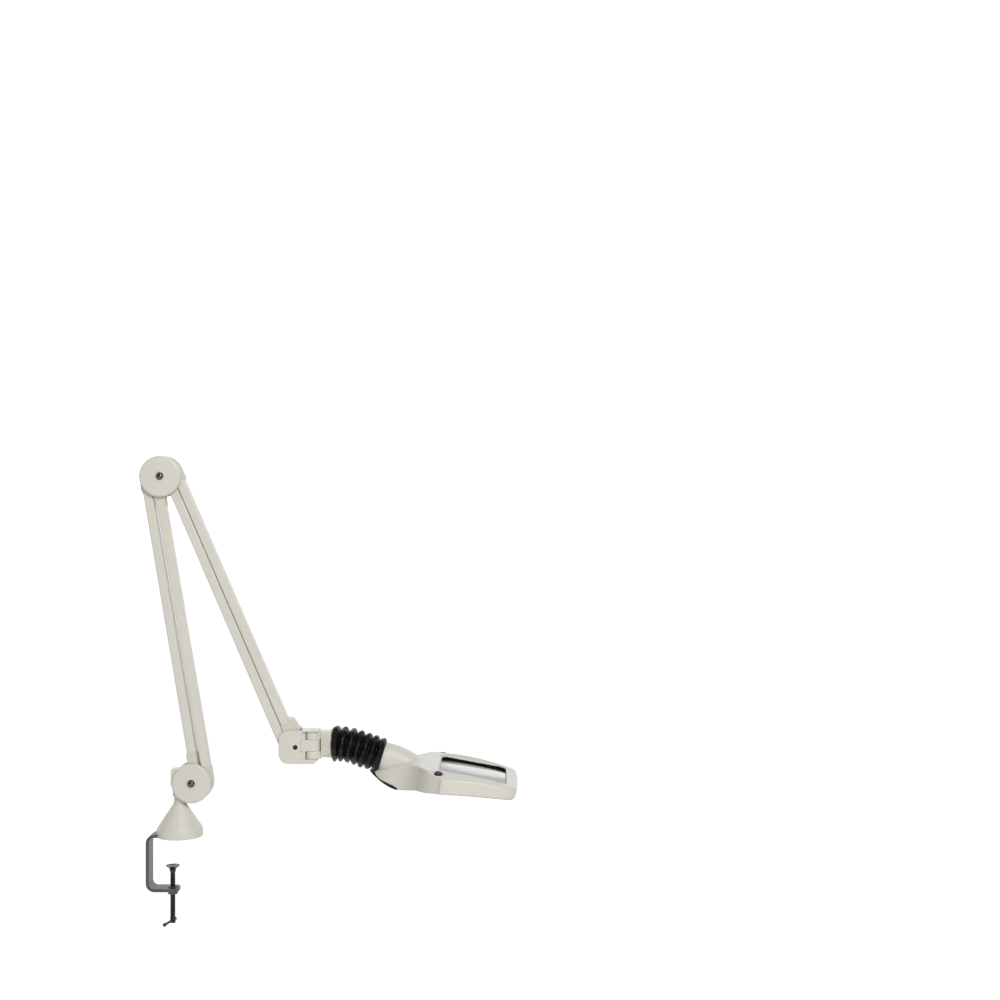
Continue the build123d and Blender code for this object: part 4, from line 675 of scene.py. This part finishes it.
def skin_push(tree, given, width, detail, out_share, depth_name):
    """The push of one noise along the normal: the full depth inwards, a share of it outwards."""
    here = add_node(tree, "GeometryNodeInputPosition")
    pattern = add_node(tree, "ShaderNodeTexNoise", {
        "Vector": here.outputs[0], "W": given.outputs["Seed"], "Scale": 1 / width, "Detail": detail,
    }, noise_dimensions="4D")
    spread = add_node(tree, "ShaderNodeMapRange", {
        "Value": pattern.outputs["Fac"], "From Min": NOISE_LOW, "From Max": NOISE_HIGH,
        "To Min": -1.0, "To Max": out_share,
    }, clamp=False)
    return add_node(tree, "ShaderNodeMath", {
        0: spread.outputs[0], 1: given.outputs[depth_name],
    }, operation="MULTIPLY")


dent = skin_push(tree, given, DENT_WIDTH, DENT_DETAIL, DENT_OUT, "Dent Depth")
crease = skin_push(tree, given, CREASE_WIDTH, CREASE_DETAIL, CREASE_OUT, "Crease Depth")
push = add_node(tree, "ShaderNodeMath", {
    0: dent.outputs[0], 1: crease.outputs[0],
}, operation="ADD")
fold_here = add_node(tree, "GeometryNodeInputNamedAttribute", {"Name": "fold"}, data_type="FLOAT")
outward = add_node(tree, "GeometryNodeInputNormal")
push_here = add_node(tree, "ShaderNodeMath", {
    0: push.outputs[0], 1: fold_here.outputs[0],
}, operation="MULTIPLY")
offset = add_node(tree, "ShaderNodeVectorMath", {
    0: outward.outputs[0], "Scale": push_here.outputs[0],
}, operation="SCALE")
crumpled = add_node(tree, "GeometryNodeSetPosition", {
    "Geometry": skin.outputs[0], "Offset": offset.outputs[0],
})
smooth = add_node(tree, "GeometryNodeSetShadeSmooth", {"Geometry": crumpled.outputs[0]})
real = add_node(tree, "GeometryNodeRealizeInstances", {"Geometry": smooth.outputs[0]})
coated = add_node(tree, "GeometryNodeSetMaterial", {
    "Geometry": real.outputs[0], "Material": given.outputs["Material"],
})
add_node(tree, "NodeGroupOutput", {0: coated.outputs[0]})

gaiter = bake("neoprene_gaiter", tree, gaiter_inputs, {
    "Collar End": COLLAR_END,
    "Collar Handle": (COLLAR_END[0] + HANDLE, 0.0, COLLAR_END[2]),
    "Neck Handle": (
        NECK_END[0] - HANDLE * math.cos(NECK_LEAN), 0.0, NECK_END[2] - HANDLE * math.sin(NECK_LEAN),
    ),
    "Neck End": NECK_END,
    "Lobes": float(GAITER_LOBES), "Valley Radius": GAITER_VALLEY, "Peak Radius": GAITER_PEAK,
    "Rings": GAITER_LOBES * RINGS_PER_LOBE + 1,
    "Dent Depth": DENT_DEPTH, "Crease Depth": CREASE_DEPTH, "Seed": GAITER_SEED,
    "Material": neoprene,
})
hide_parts("bellows")
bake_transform(gaiter)
print("the gaiter's CAD box runs from", [round(c / MM) for c in gaiter_low],
      "to", [round(c / MM) for c in gaiter_high])

# %% [markdown]
# ## The thread of the clamp screw
# The clamp is wound up by a steel screw of 8.5 mm with a 2 mm pitch. In CAD it is a plain rod as
# thick as the thread. Here a ridge with a diamond section follows a spiral curve round a thinner
# core, which is just what a thread is, and both ends stay plain as on the turned part.

# %% Cut the thread
SCREW_AXIS_X = -11.2 * MM
SCREW_RADIUS = 4.25 * MM
SCREW_CORE = 3.45 * MM
SCREW_PITCH = 2.0 * MM
SCREW_NOSE = 6.0 * MM
SCREW_NOSE_RADIUS = 2.6 * MM
PLAIN_FOOT = 9.0 * MM
TURN_POINTS = 24
ROD_SIDES = 40
DIAMOND_SIDES = 4
screw_low, screw_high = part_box("clamp_spindle")

tree, given, screw_inputs = new_tree("threaded rod", {
    "Start": "Vector", "Foot Centre": "Vector", "Core Centre": "Vector", "Nose Centre": "Vector",
    "Turns": "Float", "Thread Length": "Float", "Core Length": "Float", "Core Radius": "Float",
    "Ridge": "Float", "Foot Radius": "Float", "Foot Length": "Float", "Nose Radius": "Float",
    "Nose Length": "Float", "Material": "Material",
})
spiral = add_node(tree, "GeometryNodeCurveSpiral", {
    "Resolution": TURN_POINTS, "Rotations": given.outputs["Turns"],
    "Start Radius": given.outputs["Core Radius"], "End Radius": given.outputs["Core Radius"],
    "Height": given.outputs["Thread Length"],
})
upright = add_node(tree, "GeometryNodeSetCurveNormal", {"Curve": spiral.outputs[0]}, mode="Z_UP")
diamond = add_node(tree, "GeometryNodeCurvePrimitiveCircle", {
    "Resolution": DIAMOND_SIDES, "Radius": given.outputs["Ridge"],
})
ridge = add_node(tree, "GeometryNodeCurveToMesh", {
    "Curve": upright.outputs[0], "Profile Curve": diamond.outputs[0], "Fill Caps": True,
})
placed = [add_node(tree, "GeometryNodeTransform", {
    "Geometry": ridge.outputs[0], "Translation": given.outputs["Start"],
})]
for rod in ("Core", "Foot", "Nose"):
    solid = add_node(tree, "GeometryNodeMeshCylinder", {
        "Vertices": ROD_SIDES, "Radius": given.outputs[rod + " Radius"],
        "Depth": given.outputs[rod + " Length"],
    })
    placed.append(add_node(tree, "GeometryNodeTransform", {
        "Geometry": solid.outputs["Mesh"], "Translation": given.outputs[rod + " Centre"],
    }))
whole = add_node(tree, "GeometryNodeJoinGeometry")
for part in placed:
    tree.links.new(part.outputs[0], whole.inputs[0])
real = add_node(tree, "GeometryNodeRealizeInstances", {"Geometry": whole.outputs[0]})
coated = add_node(tree, "GeometryNodeSetMaterial", {
    "Geometry": real.outputs[0], "Material": given.outputs["Material"],
})
add_node(tree, "NodeGroupOutput", {0: coated.outputs[0]})

shoulder_z = screw_high.z - SCREW_NOSE
thread_z = screw_low.z + PLAIN_FOOT
thread_length = shoulder_z - thread_z - SCREW_PITCH
screw = bake("threaded_screw", tree, screw_inputs, {
    "Start": (SCREW_AXIS_X, 0.0, thread_z),
    "Foot Centre": (SCREW_AXIS_X, 0.0, screw_low.z + PLAIN_FOOT / 2),
    "Core Centre": (SCREW_AXIS_X, 0.0, (thread_z + shoulder_z) / 2),
    "Nose Centre": (SCREW_AXIS_X, 0.0, screw_high.z - SCREW_NOSE / 2),
    "Turns": thread_length / SCREW_PITCH, "Thread Length": thread_length,
    "Core Length": shoulder_z - thread_z, "Core Radius": SCREW_CORE,
    "Ridge": SCREW_RADIUS - SCREW_CORE, "Foot Radius": SCREW_RADIUS, "Foot Length": PLAIN_FOOT,
    "Nose Radius": SCREW_NOSE_RADIUS, "Nose Length": SCREW_NOSE, "Material": black_oxide,
})
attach(screw, "clamp_spindle")
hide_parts("clamp_spindle")
